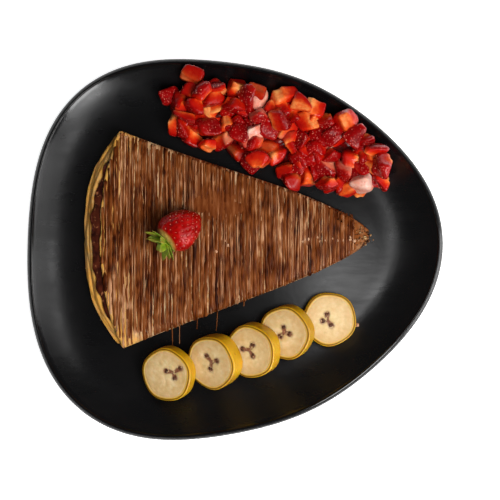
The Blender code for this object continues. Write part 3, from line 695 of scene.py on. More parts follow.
def strand_path(x, wander, draw, spill):
    """Points and normals of one strand, from the far side to the near one."""
    low_y, high_y, low_phi, high_phi = top_stretch(x)
    path, ups = [], []

    def touch(origin, towards):
        hit, normal, _, _ = surface.ray_cast(Vector(origin), Vector(towards))
        if hit:
            normal = -normal if normal.dot(Vector(towards)) > 0 else normal
            path.append(tuple(hit))
            ups.append(tuple(normal))

    if high_phi > AT_FOLD:
        over = 1.6 if x > BLUNT_END else draw.uniform(-0.2, 1.3)
        if x > BLUNT_END:
            for y in np.linspace(0.0255 - draw.uniform(0.0, 0.0010), high_y + 0.0010, 5):
                path.append((x + wander(y), y, plate_at(x, y) + 0.0002))
                ups.append((0.0, 0.0, 1.0))
        centre_z = plate_height(x, high_y) + GAP + 0.80 * CREPE_THICKNESS
        for turn in np.linspace(over, 0.0, 6) if over > 0 else ():
            way = (0.0, math.sin(turn), math.cos(turn))
            middle = (x + wander(high_y), high_y - 0.0016, centre_z)
            touch([m + 0.02 * w for m, w in zip(middle, way)], [-w for w in way])
    start = high_y - (0.0012 if high_phi > AT_FOLD else draw.uniform(0.0002, 0.0012))
    end = low_y + (0.0042 if low_phi > AT_FOLD else draw.uniform(0.0002, 0.0012))
    for y in np.linspace(start, end, max(int((start - end) / 0.0014), 4)):
        touch((x + wander(y), y, 0.08), (0, 0, -1))
    if low_phi > AT_FOLD:
        over = 1.75 if spill else draw.uniform(1.25, 1.7)
        thick = float(thickness_at(*wedge_coordinates(x, low_y + 0.003)))
        centre_z = plate_height(x, low_y) + GAP + 0.5 * thick
        for turn in np.linspace(0.15, over, max(int(over * 7), 3)):
            way = (0.0, -math.sin(turn), math.cos(turn))
            middle = (x + wander(low_y), low_y + 0.0042, centre_z)
            touch([m + 0.03 * w for m, w in zip(middle, way)], [-w for w in way])
    if spill:
        edge = path[-1][1]
        for y in np.linspace(edge - 0.0010, edge - spill, 9):
            path.append((x + wander(y), y, plate_at(x, y) + 0.0001))
            ups.append((0.0, 0.0, 1.0))
    return np.array(path), np.array(ups)


def strands():
    """All strands as points, faces and lightness, laid one after another towards the tip."""
    draw = random.Random(11)
    parts, tones = [], []
    spills = dict(SPILLS)
    x = CREPE_APEX[0] - CREPE_RADIUS + 0.0125
    while x < 0.0803:
        width = draw.uniform(0.0011, 0.0026)
        x += width * draw.uniform(0.40, 0.52)
        if not top_stretch(x):
            x += 0.001
            continue
        phase, swing = draw.uniform(0, math.tau), draw.uniform(0.0001, 0.0005)
        boldness = draw.uniform(-0.6, 0.6)
        lean = draw.uniform(-0.012, 0.012)
        length = draw.uniform(0.025, 0.070)

        def wander(y):
            return swing * math.sin(math.tau * y / length + phase) + lean * (y - 0.01)

        near = min(spills, key=lambda place: abs(place - x), default=None)
        spill = spills.pop(near) if near is not None and abs(near - x) < 0.0013 else 0.0
        path, ups = strand_path(x, wander, draw, spill)
        if len(path) < 6:
            continue
        steps = np.linalg.norm(np.diff(path, axis=0), axis=1)
        run = np.concatenate([[0.0], np.cumsum(steps)])
        ends = np.sqrt(np.clip(np.minimum(run, run[-1] - run) / 0.0016, 0.0, 1.0))
        line = together(run, x * 9.0)
        uneven = 1.0 + 0.16 * ripple(line, 0.012, 31) + 0.10 * ripple(line, 0.005, 32)
        bare = bare_at(path[:, 0], path[:, 1])
        gone = bare * (1.1 + boldness) - 0.10 + 0.09 * ripple(line, 0.025, 33)
        keep = smooth((0.62 - gone) / 0.25)
        on_plate = (path[:, 2] < 0.0095) & (path[:, 1] < 0.0)
        widths = np.maximum(width * uneven * ends * (0.3 + 0.7 * keep), 0.0002)
        widths[on_plate] = 0.0007
        heights = width * 0.38 * uneven * ends * keep - 0.0004 * (1.0 - keep)
        off_pool = np.hypot(*((path[:, :2] - POOL_CENTRE) / POOL_SIZE).T)
        heights *= 0.5 + 0.5 * smooth((off_pool - 0.75) / 0.4)
        parts.append(bead(path, ups, widths, heights))
        light = 0.11 * ripple(path[:, :2] * (1.0, 0.16), 0.0062, 34)
        light += draw.uniform(-0.13, 0.13) + 0.07 * ripple(line, 0.009, 35)
        # Strands are paler where chocolate is missing; in the glare strip this paleness is a painted
        # highlight.
        pale = 0.75 if x < -0.062 or x > 0.01 else 0.35
        light = 0.46 + light * smooth((off_pool - 0.6) / 0.6) + pale * bare
        light[on_plate] = 0.75
        tones.append(np.repeat(light, BEAD_SIDES))
        x += width * draw.uniform(0.36, 0.52) + (draw.random() < 0.40) * draw.uniform(0.0003, 0.0008)
    return (*join(parts), np.concatenate(tones))


strand_points, strand_faces, strand_tones = strands()

paint = Paint("milk_chocolate", Specular_IOR_Level=0.12)
drift = paint.drawn_out((420.0, 60.0, 60.0), 4.0)
thin = paint.drawn_out((1250.0, 26.0, 26.0), 3.0)
shade = paint.add(paint.mark("light"), paint.between(drift, -0.14, 0.14))
shade = paint.add(shade, paint.between(thin, -0.16, 0.16))
colour = paint.ramp(
    shade,
    (0.10, (40, 10, 1)),
    (0.34, (82, 34, 8)),
    (0.54, (112, 56, 20)),
    (0.76, (134, 76, 36)),
    (1.00, (190, 140, 102)),
)
colour = paint.mix(paint.step(thin, 0.57, 0.67, 0.0, 0.8), colour, (204, 154, 114))
normal = paint.bump(paint.noise(700.0, 3.0), 0.00006, paint.bump(paint.noise(210.0, 3.0), 0.00025))
rough = paint.between(drift, 0.30, 0.50)
milk_chocolate = paint.done(Base_Color=colour, Roughness=rough, Normal=normal)
make_piece(
    "chocolate_strands",
    strand_points,
    strand_faces,
    milk_chocolate,
    marks={"light": strand_tones},
)

# %% The pool beside the berry
rings, sides = 22, 96
points = []
# The rings run out over the top to the pool's edge and back below it, inside the sheet.
for ring in range(2 * rings + 1):
    share = max(1.0 - abs(ring - rings) / rings, 0.01)
    for k in range(sides):
        turn = math.tau * k / sides
        edge = 1.0 + 0.16 * float(ripple([[math.cos(turn), math.sin(turn)]], 0.8, 41)[0])
        px = POOL_CENTRE[0] + share * edge * POOL_SIZE[0] * math.cos(turn)
        py = POOL_CENTRE[1] + share * edge * POOL_SIZE[1] * math.sin(turn)
        rise = 0.0008 * math.sqrt(1.0 - share**4) - 0.0005
        rise += 0.00012 * math.sin(px * 2400.0 + 3.0 * math.sin(py * 120.0)) * (1.0 - share)
        if ring > rings:
            rise = -0.0008
        points.append((px, py, (drop_on_crepe(px, py) or 0.02) + rise))
faces = capped_faces(2 * rings + 1, sides)
paint = Paint("smooth_chocolate", Specular_IOR_Level=0.12)
drift = paint.drawn_out((420.0, 60.0, 60.0), 5.0, 0.65)
colour = paint.ramp(drift, (0.32, (84, 36, 10)), (0.50, (112, 56, 22)), (0.68, (140, 82, 44)))
rough = paint.between(drift, 0.36, 0.48)
normal = paint.bump(paint.noise(180.0, 3.0), 0.0002)
smooth_chocolate = paint.done(Base_Color=colour, Roughness=rough, Normal=normal)
make_piece("chocolate_pool", points, faces, smooth_chocolate)

# %% [markdown]
# ## The whole strawberry
# A strawberry is a swollen stalk-end that carries its seeds outside, each in a small dimple.
# The seeds follow a spiral, as on the real fruit. The berry lies on its side with its leaves
# towards the near left, and its form is the solid's: widest near the leaves, blunt at the tip.
# It rests on the strands, so it lies a little lower than the solid, which clears its ridges.

# %% The berry's form
BERRY_RADIUS = 0.0134
BERRY_LENGTH = 0.0300
BERRY_PLACE = (-0.0352, 0.0144)
# The way the tip points, and how far it dips.
BERRY_HEADING = math.radians(39.0)
BERRY_TILT = math.radians(-21.0)
BERRY_SEEDS = 150
SHOULDER = 0.36
# How high the strands stand under the berry, which rests on them.
STRANDS_UNDER_BERRY = 0.0006
CALYX_LEAVES = 8
CALYX_OUTER = 0.0142
CALYX_CLEARANCE = 0.0006
LEAF_THICKNESS = 0.00035


def berry_radius(share):
    """Radius of a berry as a share of its widest, from its leaves at 0 to its tip at 1."""
    share = np.clip(share, 0.0, 1.0)
    most = SHOULDER**SHOULDER * (1.0 - SHOULDER) ** (1.0 - SHOULDER)
    return share**SHOULDER * (1.0 - share) ** (1.0 - SHOULDER) / most


def berry_frame():
    """Carries a berry, leaves at its origin and tip up, to its place on the crepe."""
    level = math.cos(BERRY_TILT)
    axis = (math.cos(BERRY_HEADING) * level, math.sin(BERRY_HEADING) * level, math.sin(BERRY_TILT))
    turn = Vector(axis).to_track_quat("Z", "Y").to_matrix().to_4x4()
    share = (1.0 - np.cos(math.pi * np.arange(1, 24) / 24)) / 2
    angle = math.tau * np.arange(36) / 36
    skin = berry_skin(share[:, None], angle[None, :]).reshape(-1, 3) - [0, 0, BERRY_LENGTH / 2]
    world = skin @ np.array(turn.to_3x3()).T
    x, y = world[:, 0] + BERRY_PLACE[0], world[:, 1] + BERRY_PLACE[1]
    rest = crepe_height(*wedge_coordinates(x, y), 1.0) + STRANDS_UNDER_BERRY
    lowest = float((world[:, 2] - rest).min())
    place = Matrix.Translation(Vector((*BERRY_PLACE, -lowest)))
    return place @ turn @ Matrix.Translation(Vector((0, 0, -BERRY_LENGTH / 2)))


def berry_skin(share, angle):
    radius = BERRY_RADIUS * berry_radius(share)
    return together(radius * np.cos(angle), radius * np.sin(angle), share * BERRY_LENGTH)


def berry_outward(points):
    """Directions out of the skin, near enough those of a long round form."""
    return unit(points / np.array([1.0, 1.0, 2.4]) - np.array([0, 0, BERRY_LENGTH * 0.17]))


def carried(matrix, points):
    """Points moved by a matrix."""
    turn = np.array(matrix)
    return np.asarray(points) @ turn[:3, :3].T + turn[:3, 3]


def seed_places(count):
    """(share, angle) of seeds on a spiral, evenly spread over the skin."""
    shares = 0.07 + 0.89 * (np.arange(count) + 0.5) / count
    return shares, np.arange(count) * math.pi * (3.0 - math.sqrt(5.0))


def seed_shapes(places, normals, ways, length):
    """Small flattened teardrops, one at each place."""
    parts = []
    rings, sides = 5, 7
    turn = np.linspace(0, math.tau, sides, endpoint=False)
    for place, normal, way in zip(places, normals, ways):
        side = np.cross(normal, way)
        points = []
        for k in range(rings):
            t = 0.03 + 0.94 * k / (rings - 1)
            wide = length * 0.36 * math.sin(math.pi * t) ** 0.8 * (1.15 - 0.4 * t)
            ring = np.outer(np.cos(turn) * wide, side) + np.outer(np.sin(turn) * wide * 0.7, normal)
            points.append(place + way * (t - 0.5) * length + ring)
        parts.append((points, capped_faces(rings, sides)))
    return join(parts)


frame_of_berry = berry_frame()
rings, sides = 150, 190
share = (1.0 - np.cos(math.pi * np.linspace(0.012, 0.988, rings))) / 2
angle = np.linspace(0, math.tau, sides, endpoint=False)
skin = berry_skin(share[:, None], angle[None, :])
seeds = berry_skin(*seed_places(BERRY_SEEDS))
pits = np.zeros(share.shape + angle.shape)
for seed in seeds:
    pits = np.maximum(pits, np.exp(-(((skin - seed) ** 2).sum(axis=-1)) / 0.00082**2))
bulge = 0.00022 * ripple(skin, 0.012, 51) + 0.00008 * ripple(skin, 0.004, 52)
berry_points = skin + berry_outward(skin) * (bulge - 0.00042 * pits - 0.0001)[..., None]
berry_ends = [[0, 0, 0.0006], [0, 0, BERRY_LENGTH - 0.0003]]
berry_points = np.concatenate([berry_points.reshape(-1, 3), berry_ends])
pit_mark = np.concatenate([pits.ravel(), [0, 0]])
end_mark = np.concatenate([np.repeat(share, sides), [0, 1]])

paint = Paint(
    "strawberry_skin",
    Subsurface_Weight=0.08,
    Subsurface_Scale=0.003,
    Subsurface_Radius=(1.0, 0.25, 0.15),
    Specular_IOR_Level=0.2,
    Coat_Weight=0.03,
    Coat_Roughness=0.1,
)
red = paint.ramp(paint.noise(110.0), (0.32, (138, 2, 2)), (0.55, (168, 6, 4)), (0.75, (196, 30, 16)))
red = paint.mix(paint.step(paint.mark("along"), 0.07, 0.01, 0.0, 1.0), red, (206, 176, 90))
# Painted shade: the dimples round the seeds are coloured darker red.
red = paint.mix(paint.times(paint.mark("pit"), 0.55), red, (96, 6, 6))
rough = paint.between(paint.noise(200.0, 3.0), 0.20, 0.36)
normal = paint.bump(paint.noise(900.0, 3.0), 0.00005)
berry_red = paint.done(Base_Color=red, Roughness=rough, Normal=normal)
make_piece(
    "strawberry_body",
    carried(frame_of_berry, berry_points),
    pointed_faces(rings, sides),
    berry_red,
    ("whole_strawberry",),
    {"pit": pit_mark, "along": end_mark},
)

paint = Paint("seed_yellow")
colour = paint.ramp(paint.noise(260.0, 2.0), (0.35, (236, 144, 116)), (0.65, (212, 88, 66)))
seed_yellow = paint.done(Base_Color=colour, Roughness=paint.between(paint.noise(500.0), 0.30, 0.45))
out = berry_outward(seeds)
ways = unit(np.array([0.0, 0.0, 1.0]) - out * out[:, 2:])
points, faces = seed_shapes(seeds - out * 0.0004, out, ways, 0.00105)
make_piece("strawberry_seeds", carried(frame_of_berry, points), faces, seed_yellow)

# %% [markdown]
# The leaves behind the berry are narrow and pointed, joined at the stalk, and bent back a
# little. They are drawn one by one over the solid's star, each with a folded middle line and
# a rim that twists. The light green is a little uneven, and browns towards the points.

# %% The leaves
draw = random.Random(5)
leaf_lengths = [draw.uniform(0.80, 1.0) for _ in range(CALYX_LEAVES)]
leaf_bends = [draw.uniform(0.0010, 0.0055) for _ in range(CALYX_LEAVES)]
draw = random.Random(77)
parts, along_marks = [], []
rows, columns = 15, 9
t = np.linspace(0, 1, rows)[:, None]
v = np.linspace(-1, 1, columns)
for leaf in range(CALYX_LEAVES * 2 - 3):
    small = leaf >= CALYX_LEAVES
    index = leaf % CALYX_LEAVES
    heading = math.tau * (index + (0.5 if small else 0.0)) / CALYX_LEAVES + draw.uniform(-0.08, 0.08)
    length = CALYX_OUTER * leaf_lengths[index] * (0.72 if small else 0.98)
    wide = draw.uniform(0.0044, 0.0058)
    twist, curl = draw.uniform(-0.3, 0.3), draw.uniform(0.9, 1.4)
    half = wide * (1.0 - t) ** 0.55 * np.minimum(1.0, 0.50 + 1.6 * t) + 0.00012
    reach, off = 0.0004 + length * t, half * v
    back = leaf_bends[index] * t * t * curl + 0.0004 * abs(v) * (1 - t) + twist * off * t * 0.6
    back += (0.0034 if small else 0.0) * t
    forward, aside = math.cos(heading), math.sin(heading)
    flat = (reach * forward - off * aside, reach * aside + off * forward, -CALYX_CLEARANCE - back)
    leaf_top = together(*flat).reshape(-1, 3)
    upper = carried(frame_of_berry, leaf_top)
    lower = carried(frame_of_berry, leaf_top - [0, 0, LEAF_THICKNESS])
    ground = [(drop_on_crepe(px, py) or plate_at(px, py)) + 0.0009 for px, py, _ in upper]
    lift = np.maximum(np.array(ground) + LEAF_THICKNESS - upper[:, 2], 0.0)
    upper[:, 2] += lift
    lower[:, 2] += lift
    parts.append((np.concatenate([upper, lower]), slab_faces(rows, columns)))
    along_marks += [np.repeat(t, columns)] * 2
rings, sides = 7, 12
t = np.linspace(0, 1, rings)[:, None]
thick = np.where(t < 1.0, 0.0011 * (1.0 - 0.25 * t), 0.0006)
turn = np.linspace(0, math.tau, sides, endpoint=False)
stem = together(thick * np.cos(turn) + 0.0006 * t * t, thick * np.sin(turn), -0.0002 - 0.0048 * t)
parts.append((carried(frame_of_berry, stem.reshape(-1, 3)), capped_faces(rings, sides)))
along_marks.append(np.zeros(rings * sides))
leaf_points, leaf_faces = join(parts)

paint = Paint("leaf_green", Subsurface_Weight=0.15, Subsurface_Scale=0.002)
green = paint.ramp(
    paint.noise(240.0), (0.30, (92, 126, 22)), (0.55, (146, 172, 40)), (0.75, (204, 208, 92))
)
green = paint.mix(paint.step(paint.mark("leaf_along"), 0.7, 1.0, 0.0, 0.6), green, (146, 116, 52))
normal = paint.bump(paint.noise(900.0, 3.0), 0.0001)
rough = paint.between(paint.noise(150.0), 0.40, 0.60)
leaf_green = paint.done(Base_Color=green, Roughness=rough, Normal=normal)
make_piece(
    "calyx_leaves",
    leaf_points,
    leaf_faces,
    leaf_green,
    ("strawberry_leaves",),
    {"leaf_along": np.concatenate(along_marks)},
)

# %% [markdown]
# ## The cut strawberries
# Berries were quartered along their axis and cut across, so each piece is a sector of a berry
# between two cuts, with skin on one side only. The pieces were dropped one after another at
# the lowest place found, and the same draws are made here, so that each soft piece lies where
# its solid lies. More pieces are sunk in the low mound beneath, which fills the heap.

# %% Cutting and dropping the pieces
HEAP_START = (-0.0435, 0.0955)
HEAP_END = (0.1010, 0.0495)
HEAP_STRAYS = ((-0.0300, 0.1165), (-0.0455, 0.1040), (0.0385, 0.0470), (-0.0290, 0.1060))
HEAP_PIECES = 66
HEAP_TRIES = 16
HEAP_BOW = 0.0065
HEAP_HALF_WIDTH = 0.0245
MOUND_HEIGHT = 0.0100
RIM_CLEARANCE = 0.0120
SUNK_PIECES = 46
# At each of these places the topmost piece is a pale one.
PALE_PLACES = ((0.0054, 0.0843), (0.0800, 0.0475), (0.0195, 0.1050))
DICE_REACH = 0.0060
DICE_BERRY_LENGTH = 0.034
DICE_PIT_DEPTH = 0.00045


def heap_middle(share):
    """A place on the heap's bowed middle line, and the way across it."""
    start, end = Vector(HEAP_START), Vector(HEAP_END)
    along = (end - start).normalized()
    sideways = Vector((-along.y, along.x))
    return start + (end - start) * share + sideways * (4.0 * HEAP_BOW * share * (1.0 - share)), sideways


def heap_half_width(share):
    return HEAP_HALF_WIDTH * max(1.0 - abs(2.0 * share - 1.0) ** 2.6, 0.0) ** 0.5


def heap_place(share, side):
    """x and y of a place in the heap, with side from -1 to 1 across it."""
    middle, sideways = heap_middle(share)
    return middle + sideways * side * heap_half_width(share)


def clear_of_crepe(x, y, margin):
    if x > CREPE_APEX[0] + margin or x < CREPE_APEX[0] - CREPE_RADIUS - margin:
        return True
    return y > wedge_point(reach_at(min(x, CREPE_APEX[0]), 1.0), 1.0)[1] + margin


def dice_shape(draw):
    """Radius of the berry, width of the sector, length, where it starts, and share of the core cut off."""
    radius = draw.uniform(0.0105, 0.0135)
    span = math.radians(draw.uniform(60.0, 100.0))
    length = draw.uniform(0.0085, 0.0130)
    start = draw.uniform(0.10, 0.95 - length / DICE_BERRY_LENGTH)
    core = draw.uniform(0.12, 0.42)
    return radius, span, length, start, core


def dice_points(shape, around, along, out):
    """Points of a piece; around, along and out run from 0 to 1 through its sector."""
    radius, span, length, start, core = shape
    reach = radius * (core + (1.0 - core) * out) * berry_radius(start + along * length / DICE_BERRY_LENGTH)
    angle = (around - 0.5) * span
    return together(reach * np.cos(angle), reach * np.sin(angle), (along - 0.5) * length)


def dice_turn(draw):
    """A random turn, any one as likely as another."""
    u, v, w = draw.random(), draw.random() * math.tau, draw.random() * math.tau
    first, second = math.sqrt(1.0 - u), math.sqrt(u)
    a, b, c, d = first * math.sin(v), first * math.cos(v), second * math.sin(w), second * math.cos(w)
    return np.array(
        (
            (1 - 2 * (c * c + d * d), 2 * (b * c - a * d), 2 * (b * d + a * c)),
            (2 * (b * c + a * d), 1 - 2 * (b * b + d * d), 2 * (c * d - a * b)),
            (2 * (b * d - a * c), 2 * (c * d + a * b), 1 - 2 * (b * b + c * c)),
        )
    )


def core_height(share, side):
    ends = float(smooth(min(5.0 * share, 5.0 * (1.0 - share))))
    return MOUND_HEIGHT * ends * (1.0 - 0.8 * side * side)


def resting_height(x, y, mound, placed):
    """The height at which a piece comes to rest on the mound or on the pieces below it."""
    z = plate_at(x, y) + DICE_REACH + max(mound, 0.0)
    for _, _, other in placed:
        level = (2 * DICE_REACH * 0.84) ** 2 - (x - other[0]) ** 2 - (y - other[1]) ** 2
        if level > 0.0:
            z = max(z, other[2] + math.sqrt(level))
    return z


def heap_dice():
    draw = random.Random(29)
    placed = []
    for x, y in HEAP_STRAYS:
        placed.append((dice_shape(draw), dice_turn(draw), (x, y, resting_height(x, y, 0.0, []))))
    for _ in range(HEAP_PIECES):
        shape, turn, best = dice_shape(draw), dice_turn(draw), None
        for _ in range(HEAP_TRIES):
            share, side = draw.uniform(0.0, 1.0), draw.uniform(-1.0, 1.0)
            x, y = heap_place(share, side)
            if rim_inset(x, y) < RIM_CLEARANCE or not clear_of_crepe(x, y, 0.0055):
                continue
            z = resting_height(x, y, core_height(share, side) - 0.0035, placed)
            rise = z - plate_at(x, y)
            if best is None or rise < best[0]:
                best = (rise, (x, y, z))
        if best:
            placed.append((shape, turn, best[1]))
    return placed


def settled(points):
    """How far a piece moves to be clear of the crepe, of the rim and of the plate."""
    aside = np.array((*heap_middle(0.5)[1], 0.0)) * 0.0006
    shift = np.zeros(3)
    for _ in range(30):
        if all(clear_of_crepe(x, y, 2 * GAP) for x, y, _ in points + shift):
            break
        shift = shift + aside
    for _ in range(30):
        moved = points + shift
        if (rim_inset(moved[:, 0], moved[:, 1]) > LIP_INSET).all():
            break
        shift = shift - aside
    moved = points + shift
    under = plate_height(moved[:, 0], moved[:, 1]) + GAP - moved[:, 2]
    return shift + np.array((0.0, 0.0, max(0.0, float(under.max()))))


# %% The soft pieces


def rounded_box(cells, rounding):
    """Points of a box from 0 to 1 with rounded edges, and its faces."""
    line = np.linspace(-1, 1, cells + 1)
    u, v = np.meshgrid(line, line, indexing="ij")
    sheets = []
    for axis in range(3):
        for side in (-1, 1):
            flat = [u, v]
            flat.insert(axis, np.full(u.shape, float(side)))
            sheets.append(np.stack(flat, axis=-1).reshape(-1, 3))
    points, faces = join([(s, grid_faces(cells + 1, cells + 1)) for s in sheets])
    keys = {}
    order = [keys.setdefault(tuple(np.round(p, 5)), len(keys)) for p in points]
    unique = np.array(list(keys))
    core = np.clip(unique, -1 + rounding, 1 - rounding)
    unique = core + unit(unique - core) * rounding
    return (unique + 1) / 2, [[order[i] for i in face] for face in faces]


def soft_dice(shape, turn, place, cells, seed, shade=None):
    """One piece: its points, faces, the marks that its colour needs, and its seeds."""
    box, faces = rounded_box(cells, 0.40)
    draw = np.random.default_rng(seed)
    local = dice_points(shape, box[:, 0], box[:, 1], box[:, 2])
    lean = draw.normal(size=3) * 0.05
    ends = np.array([(a, b, c) for a in (0, 1) for b in (0, 1) for c in (0, 1)], dtype=float)
    middle = dice_points(shape, *ends.T).mean(axis=0)
    local = middle + (local - middle) * (1.17 + 0.05 * ripple(local, 0.009, seed)[:, None])
    local = local + np.outer(ripple(local, 0.014, seed + 1), lean) * 0.006
    skin = smooth((box[:, 2] - 0.84) / 0.12) * (0.1 if shade == 1.0 else 1.0)
    hull = [(a, b, 0.0) for a in (0, 1) for b in (0, 1)]
    hull += [(a, b, 1.0) for a in (0, 0.5, 1) for b in (0, 0.5, 1)]
    hull = np.array(hull, dtype=float)
    spots = []
    for row in range(4):
        for column in range(4):
            a = (column + 0.5 + 0.4 * (row % 2) + draw.uniform(-0.15, 0.15)) / 4.2
            b = (row + 0.5 + draw.uniform(-0.15, 0.15)) / 4.0
            if 0.1 < a < 0.9 and 0.1 < b < 0.9:
                spots.append((a, b, 1.0))
    spots = np.array(spots)
    pits = np.zeros(len(box))
    seeds = middle + (dice_points(shape, *spots.T) - middle) * 1.15
    for seed_place in seeds:
        pits = np.maximum(pits, np.exp(-((local - seed_place) ** 2).sum(axis=1) / 0.0007**2))
    local = local - unit(local * [1, 1, 0]) * (DICE_PIT_DEPTH * pits * skin)[:, None]
    shift = settled((dice_points(shape, *hull.T) - middle) @ turn.T + place)
    world = (local - middle) @ turn.T + place + shift
    low = plate_height(world[:, 0], world[:, 1]) + GAP
    world[:, 2] = np.maximum(world[:, 2], low)
    depth = (shape[4] + (1.0 - shape[4]) * box[:, 2]) * (0.45 if shade == 1.0 else 1.0)
    calyx_end = shape[3] + box[:, 1] * shape[2] / DICE_BERRY_LENGTH
    tint = np.full(len(box), draw.random() if shade is None else shade)
    normals = unit(seeds * [1, 1, 0])
    sunk = (seeds - normals * DICE_PIT_DEPTH - middle) @ turn.T + place + shift
    seed_ways = np.tile(turn @ np.array([0.0, 0.0, 1.0]), (len(seeds), 1))
    return world, faces, (skin, depth, calyx_end, tint, pits * skin), (sunk, normals @ turn.T, seed_ways)


dice = heap_dice()
extra = random.Random(83)
for _ in range(SUNK_PIECES):
    share, side = extra.uniform(0.03, 0.97), extra.uniform(-0.85, 0.85)
    x, y = heap_place(share, side)
    if rim_inset(x, y) > RIM_CLEARANCE and clear_of_crepe(x, y, 0.0070):
        z = plate_at(x, y) + 0.0045 + 0.8 * core_height(share, side) * extra.uniform(0.6, 1.0)
        dice.append((dice_shape(extra), dice_turn(extra), (x, y, z)))
# The pieces that lie apart are dark.
shades = {index: 0.08 for index in range(len(HEAP_STRAYS))}
for pale in PALE_PLACES:
    close = [k for k, (_, _, place) in enumerate(dice) if math.dist(place[:2], pale) < 0.009]
    shades[max(close, key=lambda k: dice[k][2][2])] = 1.0
parts, dice_marks, seed_data = [], [], []
for index, (shape, turn, place) in enumerate(dice):
    cells = 12 if index < len(HEAP_STRAYS) + HEAP_PIECES else 8
    shade = shades.get(index)
    world, faces, marks, seeds = soft_dice(shape, turn, np.array(place), cells, 500 + index, shade)
    parts.append((world, faces))
    dice_marks.append(np.stack(marks, axis=1))
    seed_data.append(seeds)
dice_world, dice_faces = join(parts)
dice_marks = np.concatenate(dice_marks)
print(len(dice), "pieces of strawberry")

paint = Paint(
    "strawberry_flesh",
    Subsurface_Weight=0.15,
    Subsurface_Scale=0.0030,
    Subsurface_Radius=(1.0, 0.30, 0.20),
    Specular_IOR_Level=0.14,
    Coat_Weight=0.25,
    Coat_Roughness=0.10,
)
tint = paint.mark("tint")
grain = paint.noise(300.0, 4.0, 0.6)
skin_red = paint.ramp(paint.noise(90.0, 3.0), (0.30, (116, 0, 3)), (0.70, (166, 5, 5)))
# Painted shade: the skin is coloured darker in the dimples round its seeds.
skin_red = paint.mix(paint.times(paint.mark("pit"), 0.6), skin_red, (92, 0, 4))
# Pale dots on the skin: partly its seeds, partly painted glints of the wet skin.
seed_specks_and_glints = paint.step(paint.cells(720.0), 0.30, 0.18, 0.0, 0.65)
skin_red = paint.mix(seed_specks_and_glints, skin_red, (226, 116, 104))
depth = paint.add(paint.mark("depth"), paint.between(paint.noise(130.0, 3.0), -0.12, 0.12))
red_flesh = paint.ramp(
    depth, (0.18, (250, 160, 88)), (0.38, (236, 96, 34)), (0.60, (204, 34, 10)), (0.90, (168, 6, 4))
)
pale_flesh = paint.ramp(depth, (0.20, (250, 220, 202)), (0.55, (240, 150, 122)), (0.95, (210, 44, 30)))
flesh = paint.mix(paint.step(tint, 0.90, 0.94), red_flesh, pale_flesh)
flesh = paint.mix(paint.step(paint.mark("calyx_end"), 0.22, 0.10, 0.0, 0.4), flesh, (240, 176, 130))
flesh = paint.mix(paint.step(grain, 0.42, 0.66, 0.0, 0.35), flesh, (186, 20, 8))
flesh = paint.mix(paint.step(tint, 0.28, 0.08, 0.0, 0.7), flesh, (150, 8, 4))
colour = paint.mix(paint.mark("skin"), flesh, skin_red)
rough = paint.between(grain, 0.22, 0.42)
normal = paint.bump(grain, 0.00022, paint.bump(paint.noise(90.0, 3.0), 0.0005))
strawberry_flesh = paint.done(Base_Color=colour, Roughness=rough, Normal=normal)
labels = ("skin", "depth", "calyx_end", "tint", "pit")
make_piece(
    "dice_flesh",
    dice_world,
    dice_faces,
    strawberry_flesh,
    ("diced_strawberries",),
    {label: dice_marks[:, k] for k, label in enumerate(labels)},
)
points, faces = seed_shapes(*[np.concatenate(column) for column in zip(*seed_data)], 0.0011)
make_piece("dice_seeds", points, faces, seed_yellow)

# %% [markdown]
# Under the pieces lies the solid's own low mound, coloured like the juice and crushed fruit
# that gather there, so that no gap in the heap shows the bare plate.

# %% The mound
rows, columns = 60, 24
points = []
for i in range(rows):
    share = 0.03 + 0.94 * i / (rows - 1)
    middle, sideways = heap_middle(share)
    wide = max(heap_half_width(share) - 0.0045, 0.003)
    for j in range(columns):
        side = 2.0 * j / (columns - 1) - 1.0
        x, y = middle + sideways * side * wide
        rise = max(core_height(share, side), 0.0004) * float(smooth((1.0 - abs(side)) * 6.0))
        rise *= 1.0 + 0.12 * float(ripple([[x, y]], 0.008, 61)[0])
        points.append((x, y, plate_at(x, y) + 0.0002 + rise))
points += [(x, y, plate_at(x, y) - 0.0002) for x, y, _ in points]
faces = slab_faces(rows, columns)
paint = Paint("crushed_strawberry", Coat_Weight=0.5, Coat_Roughness=0.08)
colour = paint.ramp(paint.noise(220.0, 4.0), (0.35, (60, 2, 2)), (0.65, (118, 8, 6)))
normal = paint.bump(paint.noise(260.0, 4.0), 0.0006)
rough = paint.between(paint.noise(90.0), 0.2, 0.4)
crushed = paint.done(Base_Color=colour, Roughness=rough, Normal=normal)
make_piece("heap_mound", points, faces, crushed)

# %% [markdown]
# ## The banana slices
# Five rounds were cut across an unpeeled banana. Four of them lean on the next one, and the
# last lies flat. Each shows a thin yellow peel, cream flesh with three soft chambers, and a
# pair of dark seeds in each chamber. A banana has five faint sides, so a round isn't a circle.
# The seeds were placed from above, so a line from the viewer is cut with each face.

# %% The banana slices
BANANA_RADIUS = 0.0184
BANANA_FOOT = (-0.0589, -0.0888)
BANANA_ROW = math.radians(18.6)
BANANA_STEPS = (0.0, 0.0346, 0.0606, 0.0854, 0.1114)
BANANA_SIDEWAYS = (0.0, -0.0018, -0.0030, 0.0012, 0.0)
BANANA_THICKNESS = (0.0100, 0.0132, 0.0122, 0.0104, 0.0104)
BANANA_SIDE_DEPTH = 0.018
BANANA_EDGE_ROUND = 0.0007
BANANA_TURN = 0.5
